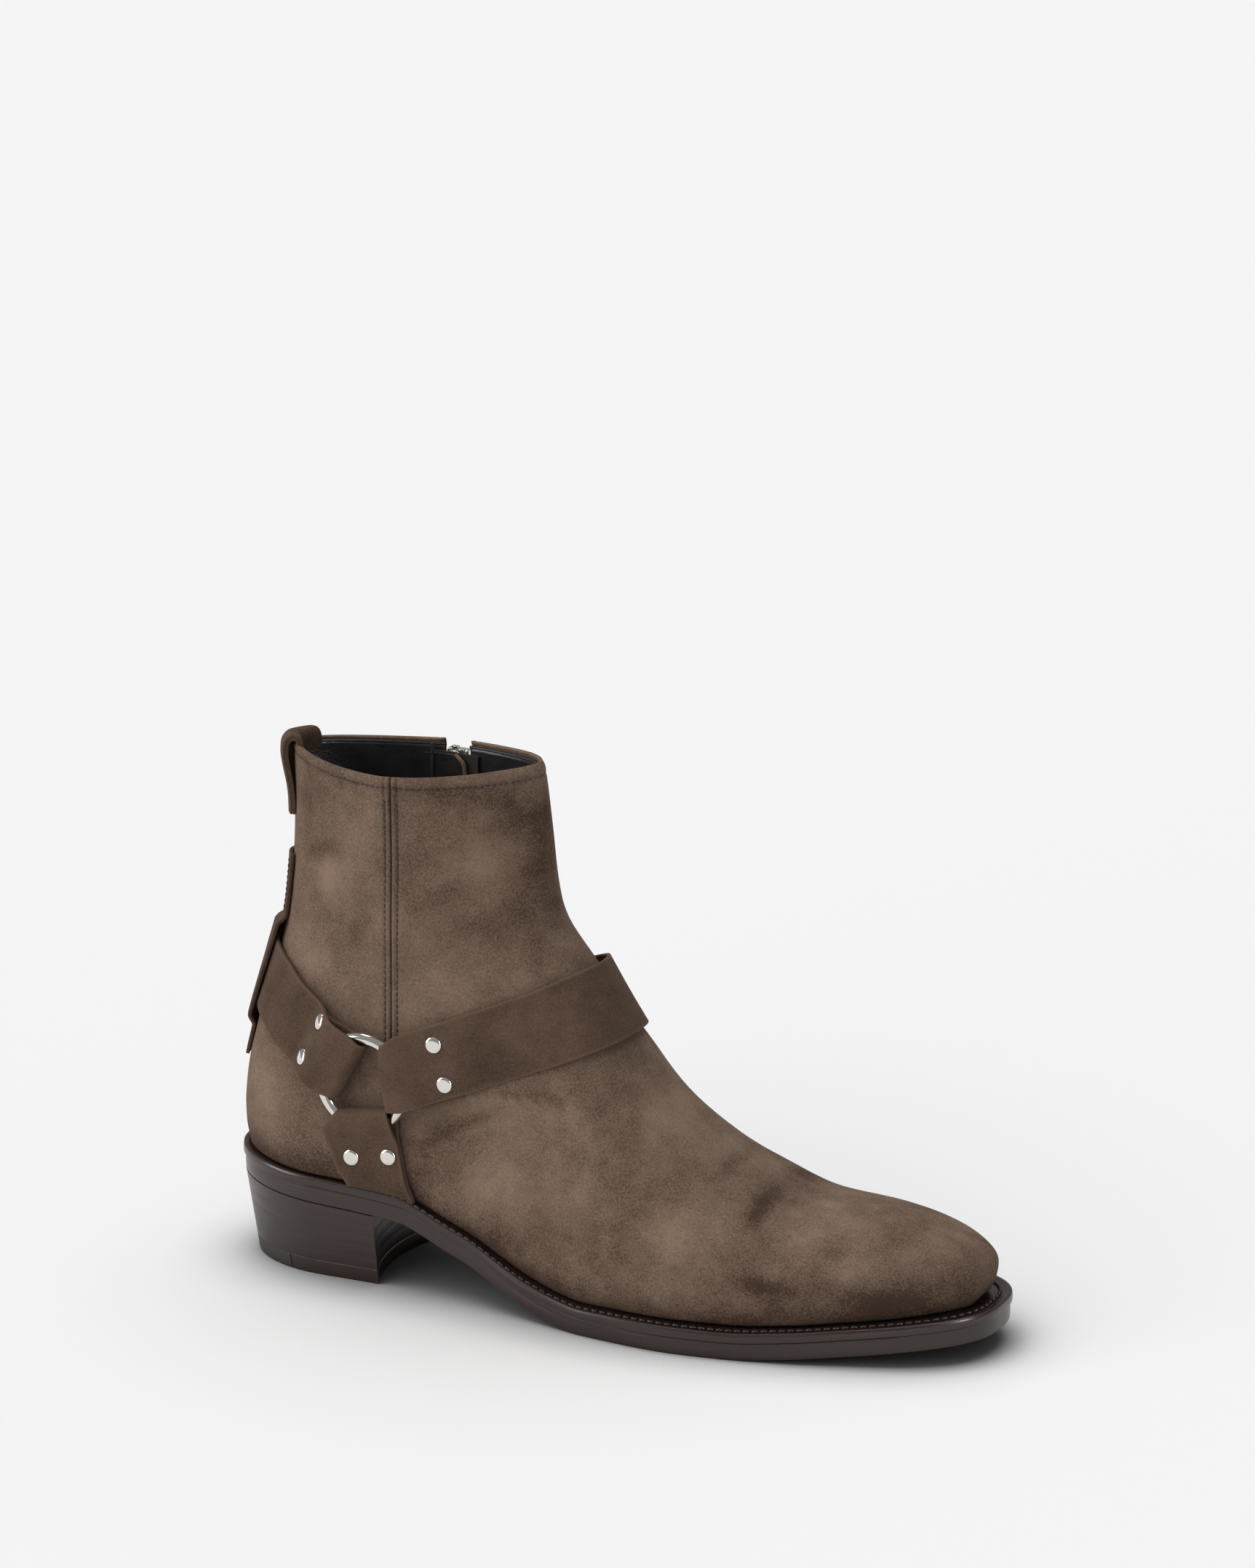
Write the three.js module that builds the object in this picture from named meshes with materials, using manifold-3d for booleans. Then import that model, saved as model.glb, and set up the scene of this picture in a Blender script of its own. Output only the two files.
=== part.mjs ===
// A right-foot harness ankle boot: suede upper with a side zip, three straps a side held by a ring,
// a welted leather sole and a stacked heel. Millimetres, +X to the toe, +Y to the inner side, +Z up.
import * as THREE from "three";
import { mergeVertices } from "three/addons/utils/BufferGeometryUtils.js";
import Module from "manifold-3d";

const wasm = await Module();
wasm.setup();

// Sole and heel
const soleLength = 304;
const ballWidth = 98;
const heelHeight = 32.6; // floor to the outsole's underside at the back of the heel
const toeSpring = 8.8;
const heelLength = 67; // back of the sole to the corners of the heel breast
const breastHollow = 6; // depth of the curved heel breast
const heelUndercut = 4.5; // how far the back of the heel slopes in on its way down
const heelSideTaper = 4.5;
const liftThickness = 6;
const rubberTipLength = 27;
const tipJoint = 0.4; // gap between the rubber tip and the leather lift
const outsoleThickness = 6.4;
const outsoleStep = 0.8; // how far the outsole is trimmed back under the welt
const weltThickness = 3.6;
const weltStripWidth = 13.5;
const insoleThickness = 2.5;

// Upper
const wall = 2.4; // suede and lining together
const collarHeight = 198.3; // floor to the collar at the back
const collarRise = 3; // how much higher the collar is at the front
const collarDip = 3; // how far the collar's sides dip between back and front
const collarWidth = 58;
const ankleWidth = 61;
const heelPocketWidth = 64;
const toeMargin = 5; // welt showing beyond the upper at the toe
const ballMargin = 3.8;
const heelMargin = 1.2;
const featherTuck = 3; // how far the upper curls in where it meets the welt
const heelTuck = 1.2;
const gap = 0.3; // clearance between neighbouring pieces

// Harness
const ringX = 66; // middle of the ring, from the back of the sole
const ringZ = 81.5;
const ringRadius = 17.1; // to the middle of the wire
const wireRadius = 2.2;
const strapWidth = 28;
const layer = 1.6; // one layer of strap leather
const instepSlope = 21.5; // degrees, rising to the front
const heelStrapSlope = 26.5; // degrees, rising to the back
const sideStrapLean = 8.5; // degrees, its foot leaning to the toe
const doubledLength = 38; // middle of the ring to the end of the folded-back layer
const instepStandOff = 2.4; // how far the strap bridges the hollow of the instep
const rivetRadius = 3.3;
const rivetHeight = 1.3;
const rivetSeat = 0.7; // clearance between a cap and the strap's curved face
const keeperWidth = 17;
const loopWidth = 15;
const loopThickness = 2.4;

// Zip on the inner side
const zipX = 74.5;
const slotWidth = 11;
const slotBottom = 60; // floor to the lower end of the zip
const tapeWidth = 21;
const tapeThickness = 1;
const chainWidth = 5.4;
const chainThickness = 1.9;
const guardWidth = 32;
const guardThickness = 1.2;
const sliderDrop = 9; // collar to the middle of the slider
const pullLength = 24;
const pullWidth = 5;
const pullThickness = 1;

// Mesh fineness
const around = 68;
const levels = 18;
const soleStations = 72;

const clamp = (v, low, high) => Math.min(high, Math.max(low, v));
const mix = (a, b, k) => a + (b - a) * k;
const smooth = (k) => {
  const c = clamp(k, 0, 1);
  return c * c * (3 - 2 * c);
};

// A smooth curve through the points (at[i], value[i]) that never overshoots them.
function curveThrough(at, value) {
  const n = at.length;
  const slope = at.slice(1).map((a, i) => (value[i + 1] - value[i]) / (a - at[i]));
  const tangent = value.map((_, i) => {
    if (i === 0) return slope[0];
    if (i === n - 1) return slope[n - 2];
    const [a, b] = [slope[i - 1], slope[i]];
    return a * b <= 0 ? 0 : (2 * a * b) / (a + b);
  });
  return (x) => {
    const c = clamp(x, at[0], at[n - 1]);
    let i = 0;
    while (i < n - 2 && c > at[i + 1]) i++;
    const h = at[i + 1] - at[i];
    const k = (c - at[i]) / h;
    const [k2, k3] = [k * k, k * k * k];
    return (
      value[i] * (2 * k3 - 3 * k2 + 1) +
      tangent[i] * h * (k3 - 2 * k2 + k) +
      value[i + 1] * (3 * k2 - 2 * k3) +
      tangent[i + 1] * h * (k3 - k2)
    );
  };
}

const columnCurve = (rows, key, value) =>
  curveThrough(
    rows.map((r) => r[key]),
    rows.map((r) => r[value]),
  );

// A factor that rises from 0 to 1 over q from 0 to 1 as a rounded end does.
const endRound = (q, power) => Math.pow(1 - Math.pow(1 - clamp(q, 0, 1), power), 1 / power);

// Sole outline: shares of the sole's length, and half widths as shares of the ball width.
const soleOutline = [
  { at: 0.0, outer: 0.328, inner: 0.335 },
  { at: 0.12, outer: 0.352, inner: 0.351 },
  { at: 0.22, outer: 0.357, inner: 0.34 },
  { at: 0.34, outer: 0.381, inner: 0.314 },
  { at: 0.44, outer: 0.441, inner: 0.318 },
  { at: 0.54, outer: 0.502, inner: 0.376 },
  { at: 0.63, outer: 0.528, inner: 0.456 },
  { at: 0.71, outer: 0.505, inner: 0.504 },
  { at: 0.79, outer: 0.456, inner: 0.48 },
  { at: 0.87, outer: 0.384, inner: 0.411 },
  { at: 0.94, outer: 0.323, inner: 0.344 },
  { at: 1.0, outer: 0.284, inner: 0.298 },
];
const heelRun = 0.137; // share of the length over which the heel rounds off
const toeRun = 0.123;
const heelPower = 2.14;
const toePower = 2.54;
const tipShift = 5.6; // how far the toe's tip lies to the inner side

// The outsole's underside: shares of the length, and of heel height or toe spring. Over the heel it
// is flat and slopes down to the front; the tread lies on the floor from 0.51 to 0.7.
const undersideTable = [
  { at: 0.0, heel: 1, toe: 0 },
  { at: 0.13, heel: 0.92, toe: 0 },
  { at: 0.26, heel: 0.84, toe: 0 },
  { at: 0.29, heel: 0.745, toe: 0 },
  { at: 0.32, heel: 0.625, toe: 0 },
  { at: 0.36, heel: 0.48, toe: 0 },
  { at: 0.4, heel: 0.31, toe: 0 },
  { at: 0.44, heel: 0.16, toe: 0 },
  { at: 0.48, heel: 0.055, toe: 0 },
  { at: 0.52, heel: 0, toe: 0 },
  { at: 0.7, heel: 0, toe: 0 },
  { at: 0.77, heel: 0, toe: 0.16 },
  { at: 0.85, heel: 0, toe: 0.46 },
  { at: 0.93, heel: 0, toe: 0.78 },
  { at: 1.0, heel: 0, toe: 1 },
];
const heelPart = columnCurve(undersideTable, "at", "heel");
const toePart = columnCurve(undersideTable, "at", "toe");
const underside = (x) => heelHeight * heelPart(x / soleLength) + toeSpring * toePart(x / soleLength);
const weltBottom = (x) => underside(x) + outsoleThickness + gap + 0.03;
const weltTop = (x) => weltBottom(x) + weltThickness;
const feather = (x) => weltTop(x) + gap;

const centreLine = (x) => tipShift * Math.pow(clamp(x / soleLength, 0, 1), 2);
const outerHalf = columnCurve(soleOutline, "at", "outer");
const innerHalf = columnCurve(soleOutline, "at", "inner");

// Half width of the sole outline at x, drawn in by an inset all round. side is -1 outside, +1 inside.
function halfWidth(x, side, inset) {
  const half = (side < 0 ? outerHalf : innerHalf)(x / soleLength) * ballWidth - inset;
  const heelEnd = endRound((x - inset) / (heelRun * soleLength), heelPower);
  const toeEnd = endRound((soleLength - inset - x) / (toeRun * soleLength), toePower);
  return half * heelEnd * toeEnd;
}

const endZone = 40; // stations nearer an end than this move in with the inset

// A closed ring of points over the outline: index 0 at the heel, the outer side first.
function outlineLoop(count, inset, height) {
  const loop = [];
  for (let i = 0; i < count; i++) {
    const turn = (2 * Math.PI * i) / count;
    const side = turn < Math.PI ? -1 : 1;
    const full = (soleLength * (1 - Math.cos(turn))) / 2;
    const endSquare = (distance) => Math.pow(clamp(1 - distance / endZone, 0, 1), 2);
    const x = full + inset * (endSquare(full) - endSquare(soleLength - full));
    const y = i === 0 || 2 * i === count ? 0 : side * halfWidth(x, side, inset);
    loop.push(new THREE.Vector3(x, y + centreLine(x), height(x)));
  }
  return loop;
}

// Turns a list of triangles over shared points into a geometry, with its faces outwards.
function solidGeometry(points, triangles) {
  let volume = 0;
  for (const [a, b, c] of triangles) {
    const cross = new THREE.Vector3().crossVectors(points[b], points[c]);
    volume += points[a].dot(cross);
  }
  const order = volume < 0 ? triangles.map(([a, b, c]) => [a, c, b]) : triangles;
  const position = new THREE.Float32BufferAttribute(
    points.flatMap((p) => p.toArray()),
    3,
  );
  const geometry = new THREE.BufferGeometry().setAttribute("position", position);
  geometry.setIndex(order.flat());
  geometry.computeVertexNormals();
  return geometry;
}

const quad = (a, b, c, d) => [
  [a, b, c],
  [a, c, d],
];

// A plate: loops stacked from its bottom to its top, closed by ladders between the two sides.
function plate(loops) {
  const n = loops[0].length;
  const triangles = [];
  for (let l = 0; l + 1 < loops.length; l++)
    for (let i = 0; i < n; i++) {
      const j = (i + 1) % n;
      triangles.push(...quad(l * n + i, l * n + j, (l + 1) * n + j, (l + 1) * n + i));
    }
  const top = (loops.length - 1) * n;
  for (let i = 0; i < n / 2; i++) {
    const [a, b, c, d] = [i, i + 1, n - i - 1, (n - i) % n];
    const ladder = i === 0 ? [[a, b, c]] : i + 1 === n / 2 ? [[a, b, d]] : quad(a, b, c, d);
    for (const [p, q, r] of ladder) {
      triangles.push([p, r, q]);
      triangles.push([top + p, top + q, top + r]);
    }
  }
  return solidGeometry(loops.flat(), triangles);
}

// A strip that closes on itself: loops one after the other round its section.
function closedStrip(loops) {
  const n = loops[0].length;
  const triangles = [];
  loops.forEach((_, l) => {
    const next = (l + 1) % loops.length;
    for (let i = 0; i < n; i++) {
      const j = (i + 1) % n;
      triangles.push(...quad(l * n + i, l * n + j, next * n + j, next * n + i));
    }
  });
  return solidGeometry(loops.flat(), triangles);
}

// A sheet with thickness: two grids of points, rows by columns, with rims along every open edge.
// wraps joins the last column to the first, and missing(row, column) leaves a cell out.
function sheet(outer, inner, wraps = false, missing = () => false) {
  const [rows, columns] = [outer.length, outer[0].length];
  const cellColumns = wraps ? columns : columns - 1;
  const back = rows * columns;
  const at = (r, c) => r * columns + (c % columns);
  const there = (r, c) => {
    if (r < 0 || r >= rows - 1) return false;
    if (!wraps && (c < 0 || c >= cellColumns)) return false;
    return !missing(r, (c + cellColumns) % cellColumns);
  };
  const triangles = [];
  const rim = (a, b) => triangles.push(...quad(a, b, b + back, a + back));
  for (let r = 0; r < rows - 1; r++)
    for (let c = 0; c < cellColumns; c++) {
      if (!there(r, c)) continue;
      const [a, b, d, e] = [at(r, c), at(r, c + 1), at(r + 1, c + 1), at(r + 1, c)];
      triangles.push(...quad(a, b, d, e));
      triangles.push(...quad(e + back, d + back, b + back, a + back));
      if (!there(r - 1, c)) rim(b, a);
      if (!there(r + 1, c)) rim(e, d);
      if (!there(r, c - 1)) rim(a, e);
      if (!there(r, c + 1)) rim(d, b);
    }
  return compact([...outer.flat(), ...inner.flat()], triangles);
}

// Drops the points that no triangle uses.
function compact(points, triangles) {
  const used = new Map();
  const renumbered = triangles.map((t) =>
    t.map((i) => {
      if (!used.has(i)) used.set(i, used.size);
      return used.get(i);
    }),
  );
  return solidGeometry(
    [...used.keys()].map((i) => points[i]),
    renumbered,
  );
}

function toManifold(geometry) {
  const bare = new THREE.BufferGeometry().setAttribute("position", geometry.getAttribute("position"));
  bare.setIndex(geometry.index);
  const merged = mergeVertices(bare, 1e-4);
  return new wasm.Manifold(
    new wasm.Mesh({
      numProp: 3,
      vertProperties: merged.attributes.position.array,
      triVerts: new Uint32Array(merged.index.array),
    }),
  );
}

function fromManifold(solid) {
  const mesh = solid.getMesh();
  const position = new THREE.BufferAttribute(new Float32Array(mesh.vertProperties), 3);
  const geometry = new THREE.BufferGeometry().setAttribute("position", position);
  geometry.setIndex(new THREE.BufferAttribute(new Uint32Array(mesh.triVerts), 1));
  geometry.computeVertexNormals();
  return geometry;
}

const cut = (geometry, tool) => fromManifold(toManifold(geometry).subtract(toManifold(tool)));
const common = (geometry, tool) => fromManifold(toManifold(geometry).intersect(toManifold(tool)));

// The upper's side outline, level by level from the feather line to the collar: x of the back line
// and of the front line as shares of the sole's length, and how far up they are as shares of the
// height between feather line and collar. follow says how far a level keeps the sole's curve.
const upperLevels = [
  { up: 0, backX: 0.0086, backUp: 0, frontX: 0.9707, frontUp: -0.0, follow: 1 },
  { up: 0.05, backX: 0.0039, backUp: 0.05, frontX: 0.9845, frontUp: 0.0401, follow: 1 },
  { up: 0.1, backX: 0.0026, backUp: 0.1, frontX: 0.978, frontUp: 0.0775, follow: 1 },
  { up: 0.15, backX: 0.0039, backUp: 0.151, frontX: 0.9569, frontUp: 0.1023, follow: 1 },
  { up: 0.2, backX: 0.0072, backUp: 0.203, frontX: 0.9178, frontUp: 0.1292, follow: 1 },
  { up: 0.27, backX: 0.0145, backUp: 0.267, frontX: 0.8421, frontUp: 0.1528, follow: 1 },
  { up: 0.34, backX: 0.023, backUp: 0.334, frontX: 0.7566, frontUp: 0.1622, follow: 0.95 },
  { up: 0.42, backX: 0.0339, backUp: 0.407, frontX: 0.6661, frontUp: 0.2248, follow: 0.8 },
  { up: 0.5, backX: 0.0457, backUp: 0.484, frontX: 0.5671, frontUp: 0.3551, follow: 0.6 },
  { up: 0.59, backX: 0.0579, backUp: 0.569, frontX: 0.5217, frontUp: 0.4596, follow: 0.42 },
  { up: 0.69, backX: 0.0645, backUp: 0.668, frontX: 0.4711, frontUp: 0.5778, follow: 0.25 },
  { up: 0.8, backX: 0.0681, backUp: 0.776, frontX: 0.4211, frontUp: 0.7081, follow: 0.1 },
  { up: 0.9, backX: 0.0691, backUp: 0.89, frontX: 0.4105, frontUp: 0.8499, follow: 0 },
  { up: 1.0, backX: 0.0681, backUp: 1, frontX: 0.4, frontUp: 1, follow: 0 },
];
const level = (name) => columnCurve(upperLevels, "up", name);
const [backXShare, backUpShare] = [level("backX"), level("backUp")];
const [frontXShare, frontUpShare] = [level("frontX"), level("frontUp")];
const followShare = level("follow");
const backFeather = feather(0);
const frontFeather = feather(soleLength);
const backRange = collarHeight - backFeather;
const frontRange = collarHeight + collarRise - frontFeather;
const backPoint = (t) => ({
  x: backXShare(t) * soleLength,
  z: backFeather + backUpShare(t) * backRange,
});
const frontPoint = (t) => ({
  x: frontXShare(t) * soleLength,
  z: frontFeather + frontUpShare(t) * frontRange,
});

// The value between low and high at which a rising function reaches its goal.
function solveRising(rising, goal, low, high) {
  let [a, b] = [low, high];
  for (let i = 0; i < 30; i++) {
    const middle = (a + b) / 2;
    if (rising(middle) < goal) a = middle;
    else b = middle;
  }
  return (a + b) / 2;
}

// Back and front lines as x over height, and the ridge of the foot as height over x.
const lineSteps = 400;
const backLine = Array.from({ length: lineSteps + 1 }, (_, i) => backPoint(i / lineSteps));
const frontLine = Array.from({ length: lineSteps + 1 }, (_, i) => frontPoint(i / lineSteps));
function lineX(line, z) {
  let i = 0;
  while (i < lineSteps - 1 && line[i + 1].z < z) i++;
  const [a, b] = [line[i], line[i + 1]];
  return mix(a.x, b.x, clamp((z - a.z) / (b.z - a.z), 0, 1));
}
const tip = frontLine.reduce((best, p, i) => (p.x > frontLine[best].x ? i : best), 0);
function ridge(x) {
  let i = tip;
  while (i < lineSteps - 1 && frontLine[i + 1].x > x) i++;
  const [a, b] = [frontLine[i], frontLine[i + 1]];
  return mix(a.z, b.z, clamp((a.x - x) / (a.x - b.x), 0, 1));
}

const marginCurve = curveThrough([0, 0.3, 0.66, 1], [heelMargin, heelMargin, ballMargin, toeMargin]);
const tuckCurve = curveThrough([0, 0.1, 0.35, 1], [heelTuck, heelTuck, featherTuck, featherTuck]);
const shaftHalf = curveThrough(
  [0.2, 0.35, 0.6, 0.85, 1],
  [heelPocketWidth / 2, heelPocketWidth / 2, ankleWidth / 2, collarWidth / 2, collarWidth / 2],
);
const backPower = curveThrough([0.1, 0.5, 1], [heelPower, 1.75, 1.5]);
const frontPower = curveThrough([0.15, 0.5, 1], [2, 1.8, 1.6]);
const widestRise = 11; // height above the feather line where the upper is widest
const archPower = 2.15; // roundness of the cross section over the foot

// Half width of the upper's outside at x and height z, on one side.
function upperHalf(x, z, side) {
  const low = clamp((z - feather(x)) / widestRise, 0, 1);
  const tuck = tuckCurve(x / soleLength) * (1 - low) * (1 - low);
  const inset = marginCurve(x / soleLength) + tuck;
  const base = halfWidth(x, side, inset);
  const straight = (side < 0 ? outerHalf : innerHalf)(x / soleLength) * ballWidth - inset;
  const bulge = feather(x) + widestRise;
  const rise = clamp((z - bulge) / Math.max(ridge(x) - bulge, 1), 0, 1);
  const foot = base * Math.pow(1 - Math.pow(rise, archPower), 1 / archPower);
  const share = (z - backFeather) / backRange;
  const [back, front] = [lineX(backLine, z), lineX(frontLine, z)];
  const halfLength = (front - back) / 2;
  const run = Math.min(mix(heelRun * soleLength, halfLength, smooth(share / 0.6)), halfLength);
  const body = mix(straight, shaftHalf(share), smooth(share / 0.22));
  const backEnd = endRound((x - back) / run, backPower(share));
  const frontEnd = endRound((front - x) / Math.min(run * 1.15, halfLength), frontPower(share));
  return mix(body * backEnd * frontEnd, foot, smooth((x / soleLength - 0.36) / 0.2));
}

// A point of the upper's outside. turn runs from 0 at the back round the outer side to PI at the
// front and on round the inner side, and t from 0 at the feather line to 1 at the collar.
function upperPoint(turn, t) {
  const [back, front] = [backPoint(t), frontPoint(t)];
  const s = (1 - Math.cos(turn)) / 2;
  const side = Math.sin(turn) >= 0 ? -1 : 1;
  const x = mix(back.x, front.x, s);
  const straight = mix(feather(back.x), feather(front.x), s);
  const level = mix(back.z, front.z, s) + followShare(t) * (feather(x) - straight);
  const end = Math.abs(Math.sin(turn)) < 1e-6;
  const half = end ? 0 : upperHalf(x, level, side);
  const z = level - collarDip * 4 * s * (1 - s) * smooth((t - 0.6) / 0.4);
  return new THREE.Vector3(x, side * half + centreLine(x), z);
}

function upperNormal(turn, t) {
  const along = upperPoint(turn + 0.045, t).sub(upperPoint(turn - 0.045, t));
  const [high, low] = [Math.min(t + 0.012, 1), Math.max(t - 0.012, 0)];
  const upward = upperPoint(turn, high).sub(upperPoint(turn, low));
  return new THREE.Vector3().crossVectors(along, upward).normalize();
}

const offUpper = (turn, t, distance) =>
  upperPoint(turn, t).addScaledVector(upperNormal(turn, t), distance);

// The same surface as a side view: the point at x and z on one side, moved out by a distance.
function onSide(x, z, side, distance = 0) {
  const at = (px, pz) => new THREE.Vector3(px, side * upperHalf(px, pz, side) + centreLine(px), pz);
  const along = at(x + 0.6, z).sub(at(x - 0.6, z));
  const upward = at(x, z + 0.6).sub(at(x, z - 0.6));
  const normal = new THREE.Vector3().crossVectors(along, upward).normalize();
  if (normal.y * side < 0) normal.negate();
  return { point: at(x, z).addScaledVector(normal, distance), normal };
}

// The same surface seen from the back: the point at y and z, moved out by a distance.
function onBack(y, z, distance = 0) {
  const side = y < 0 ? -1 : 1;
  const at = (py, pz) => {
    const low = lineX(backLine, pz);
    const half = (x) => upperHalf(x, pz, py < 0 ? -1 : 1);
    return new THREE.Vector3(solveRising(half, Math.abs(py), low, low + 40), py, pz);
  };
  const step = 0.8;
  const across = at(y + side * step, z).sub(at(y, z)).multiplyScalar(side);
  const upward = at(y, z + step).sub(at(y, z - step));
  const normal = new THREE.Vector3().crossVectors(upward, across).normalize();
  if (normal.x > 0) normal.negate();
  return { point: at(y, z).addScaledVector(normal, distance), normal };
}

const boot = new THREE.Group();
const finishes = {
  suede: { color: 0x5c4b40, roughness: 0.95, metalness: 0 },
  strapSuede: { color: 0x554539, roughness: 0.95, metalness: 0 },
  soleLeather: { color: 0x352824, roughness: 0.4, metalness: 0 },
  lining: { color: 0x17181a, roughness: 0.5, metalness: 0 },
  rubber: { color: 0x23251f, roughness: 0.7, metalness: 0 },
  tape: { color: 0x3c3029, roughness: 0.9, metalness: 0 },
  steel: { color: 0xc8c8c6, roughness: 0.25, metalness: 1 },
};
function add(name, geometry, finish) {
  const mesh = new THREE.Mesh(geometry, new THREE.MeshStandardMaterial(finishes[finish]));
  mesh.name = name;
  boot.add(mesh);
}

// Outsole and the strip round its edge that the upper is sewn to
add(
  "outsole",
  plate([
    outlineLoop(soleStations, outsoleStep, underside),
    outlineLoop(soleStations, outsoleStep, (x) => weltBottom(x) - gap),
  ]),
  "soleLeather",
);
add(
  "welt",
  closedStrip([
    outlineLoop(soleStations, 0, weltBottom),
    outlineLoop(soleStations, 0, weltTop),
    outlineLoop(soleStations, weltStripWidth, weltTop),
    outlineLoop(soleStations, weltStripWidth, weltBottom),
  ]),
  "soleLeather",
);

// The insole lies on the welt's inner edge and fills the hollow inside it.
const insoleInset = toeMargin + featherTuck + wall + 0.8;
const fillInset = weltStripWidth + gap + 0.2;
add(
  "insole",
  plate([
    outlineLoop(soleStations, fillInset, weltBottom),
    outlineLoop(soleStations, fillInset, (x) => weltTop(x) + gap),
    outlineLoop(soleStations, insoleInset, (x) => weltTop(x) + gap),
    outlineLoop(soleStations, insoleInset, (x) => weltTop(x) + gap + insoleThickness),
  ]),
  "lining",
);

// A level loop of the heel: its outline at a share of the way up, between x = from and the breast.
function heelLoop(upShare, height, from, to) {
  const grow = 1 - upShare;
  const side = (sign, x) => {
    const inset = heelSideTaper * grow;
    const y = sign * halfWidth(Math.max(x, 1e-3), sign, 0) * (1 - inset / (0.35 * ballWidth));
    const placed = x + heelUndercut * grow * (1 - x / heelLength) + outsoleStep;
    return new THREE.Vector3(placed, y * 0.985 + centreLine(x), height(placed));
  };
  const steps = 14;
  const low = Math.max(from, 0);
  const xs = Array.from({ length: steps + 1 }, (_, i) => mix(low, to, 1 - Math.cos((Math.PI / 2) * (i / steps))));
  const outer = xs.map((x) => side(-1, x));
  const inner = xs.map((x) => side(1, x)).reverse();
  const end = (a, b, hollow) =>
    Array.from({ length: 7 }, (_, i) => {
      const k = (i + 1) / 8;
      const p = a.clone().lerp(b, k);
      p.x -= hollow * 4 * k * (1 - k);
      p.z = height(p.x);
      return p;
    });
  const hollow = to >= heelLength - 1 ? breastHollow : 0;
  const loop = [...outer, ...end(outer[steps], inner[0], hollow), ...inner];
  if (from <= 0) loop.pop();
  return loop;
}

// A slab between two loops of the same shape whose ends are flat or nearly so.
function slab(bottom, top) {
  const n = bottom.length;
  const triangles = [];
  for (let i = 0; i < n; i++) {
    const j = (i + 1) % n;
    triangles.push(...quad(i, j, n + j, n + i));
  }
  const flat = (loop) => loop.map((p) => new THREE.Vector2(p.x, p.y));
  for (const [a, b, c] of THREE.ShapeUtils.triangulateShape(flat(bottom), [])) triangles.push([a, c, b]);
  for (const [a, b, c] of THREE.ShapeUtils.triangulateShape(flat(bottom), []))
    triangles.push([n + a, n + b, n + c]);
  return solidGeometry([...bottom, ...top], triangles);
}

const liftShare = liftThickness / heelHeight;
add(
  "heel_stack",
  slab(
    heelLoop(liftShare, () => liftThickness + gap, 0, heelLength),
    heelLoop(1, (x) => underside(x) - gap - 0.15, 0, heelLength),
  ),
  "soleLeather",
);
add(
  "heel_lift",
  slab(
    heelLoop(0, () => 0, rubberTipLength + tipJoint, heelLength),
    heelLoop(liftShare, () => liftThickness, rubberTipLength + tipJoint, heelLength),
  ),
  "soleLeather",
);
add(
  "heel_tip",
  slab(heelLoop(0, () => 0, 0, rubberTipLength), heelLoop(liftShare, () => liftThickness, 0, rubberTipLength)),
  "rubber",
);

// The upper: one hollow wall, open at the collar and underneath, with the zip's slot cut into it.
function makeUpper() {
  const [outer, inner] = [[], []];
  const ring = Array.from({ length: around }, (_, c) => (2 * Math.PI * c) / around);
  for (let r = 0; r < levels; r++) {
    const t = Math.pow(r / (levels - 1), 1.25);
    outer.push(ring.map((turn) => upperPoint(turn, t)));
    inner.push(ring.map((turn) => offUpper(turn, t, -wall)));
  }
  for (const r of [0, levels - 1]) inner[r].forEach((p, c) => (p.z = outer[r][c].z));
  const slot = new THREE.BoxGeometry(slotWidth, 90, 300).translate(zipX, 53, slotBottom + 150);
  return cut(sheet(outer, inner, true), slot);
}
add("upper", makeUpper(), "suede");

// The ring on one side: its middle stands off the upper far enough for a layer of strap beneath it.
function ringFrame(side) {
  const { point, normal } = onSide(ringX, ringZ, side, layer + wireRadius + 1.3);
  return { centre: point, normal };
}
const ringFrames = { "-1": ringFrame(-1), 1: ringFrame(1) };
function torusAt(frame, wire, ringSteps, wireSteps) {
  const turn = new THREE.Quaternion().setFromUnitVectors(new THREE.Vector3(0, 0, 1), frame.normal);
  return new THREE.TorusGeometry(ringRadius, wire, wireSteps, ringSteps)
    .applyQuaternion(turn)
    .translate(frame.centre.x, frame.centre.y, frame.centre.z);
}
for (const [name, side] of [
  ["ring_lateral", -1],
  ["ring_medial", 1],
])
  add(name, torusAt(ringFrames[side], wireRadius, 24, 8), "steel");

const radians = (degrees) => (degrees * Math.PI) / 180;
const under = 0.8; // clearance beneath a strap, measured from the upper's curved surface
const single = under + layer;
const doubled = under + 2 * layer;
const roll = wireRadius + gap + layer + 0.3; // half the thickness of a fold round the wire

// How far a strap's two faces stand off the upper, for a point of the upper: alongRing is the
// distance from the ring's middle along the strap, and edge the distance from its fold.
function strapFaces(point, side, alongRing, edge) {
  const { centre, normal } = ringFrames[side];
  const height = centre.clone().sub(point).dot(normal);
  const thick = mix(doubled, single, smooth((alongRing - doubledLength) / 3));
  const middle = mix(height, (under + thick) / 2, smooth((alongRing - ringRadius - 1) / 12));
  const past = Math.max(alongRing - ringRadius, 0);
  const round = Math.sqrt(Math.max(roll * roll - past * past, 0));
  const half = Math.max(round, (thick - under) / 2);
  const nose = Math.sqrt(clamp(edge / 2.6, 0.02, 1));
  return [Math.max(middle - half * nose, under), middle + half * nose];
}

const foldSteps = [0, 0.6, 1.6, 3.2, 5.5, 8, 10.5, 13, 16, 19.5];

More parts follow.
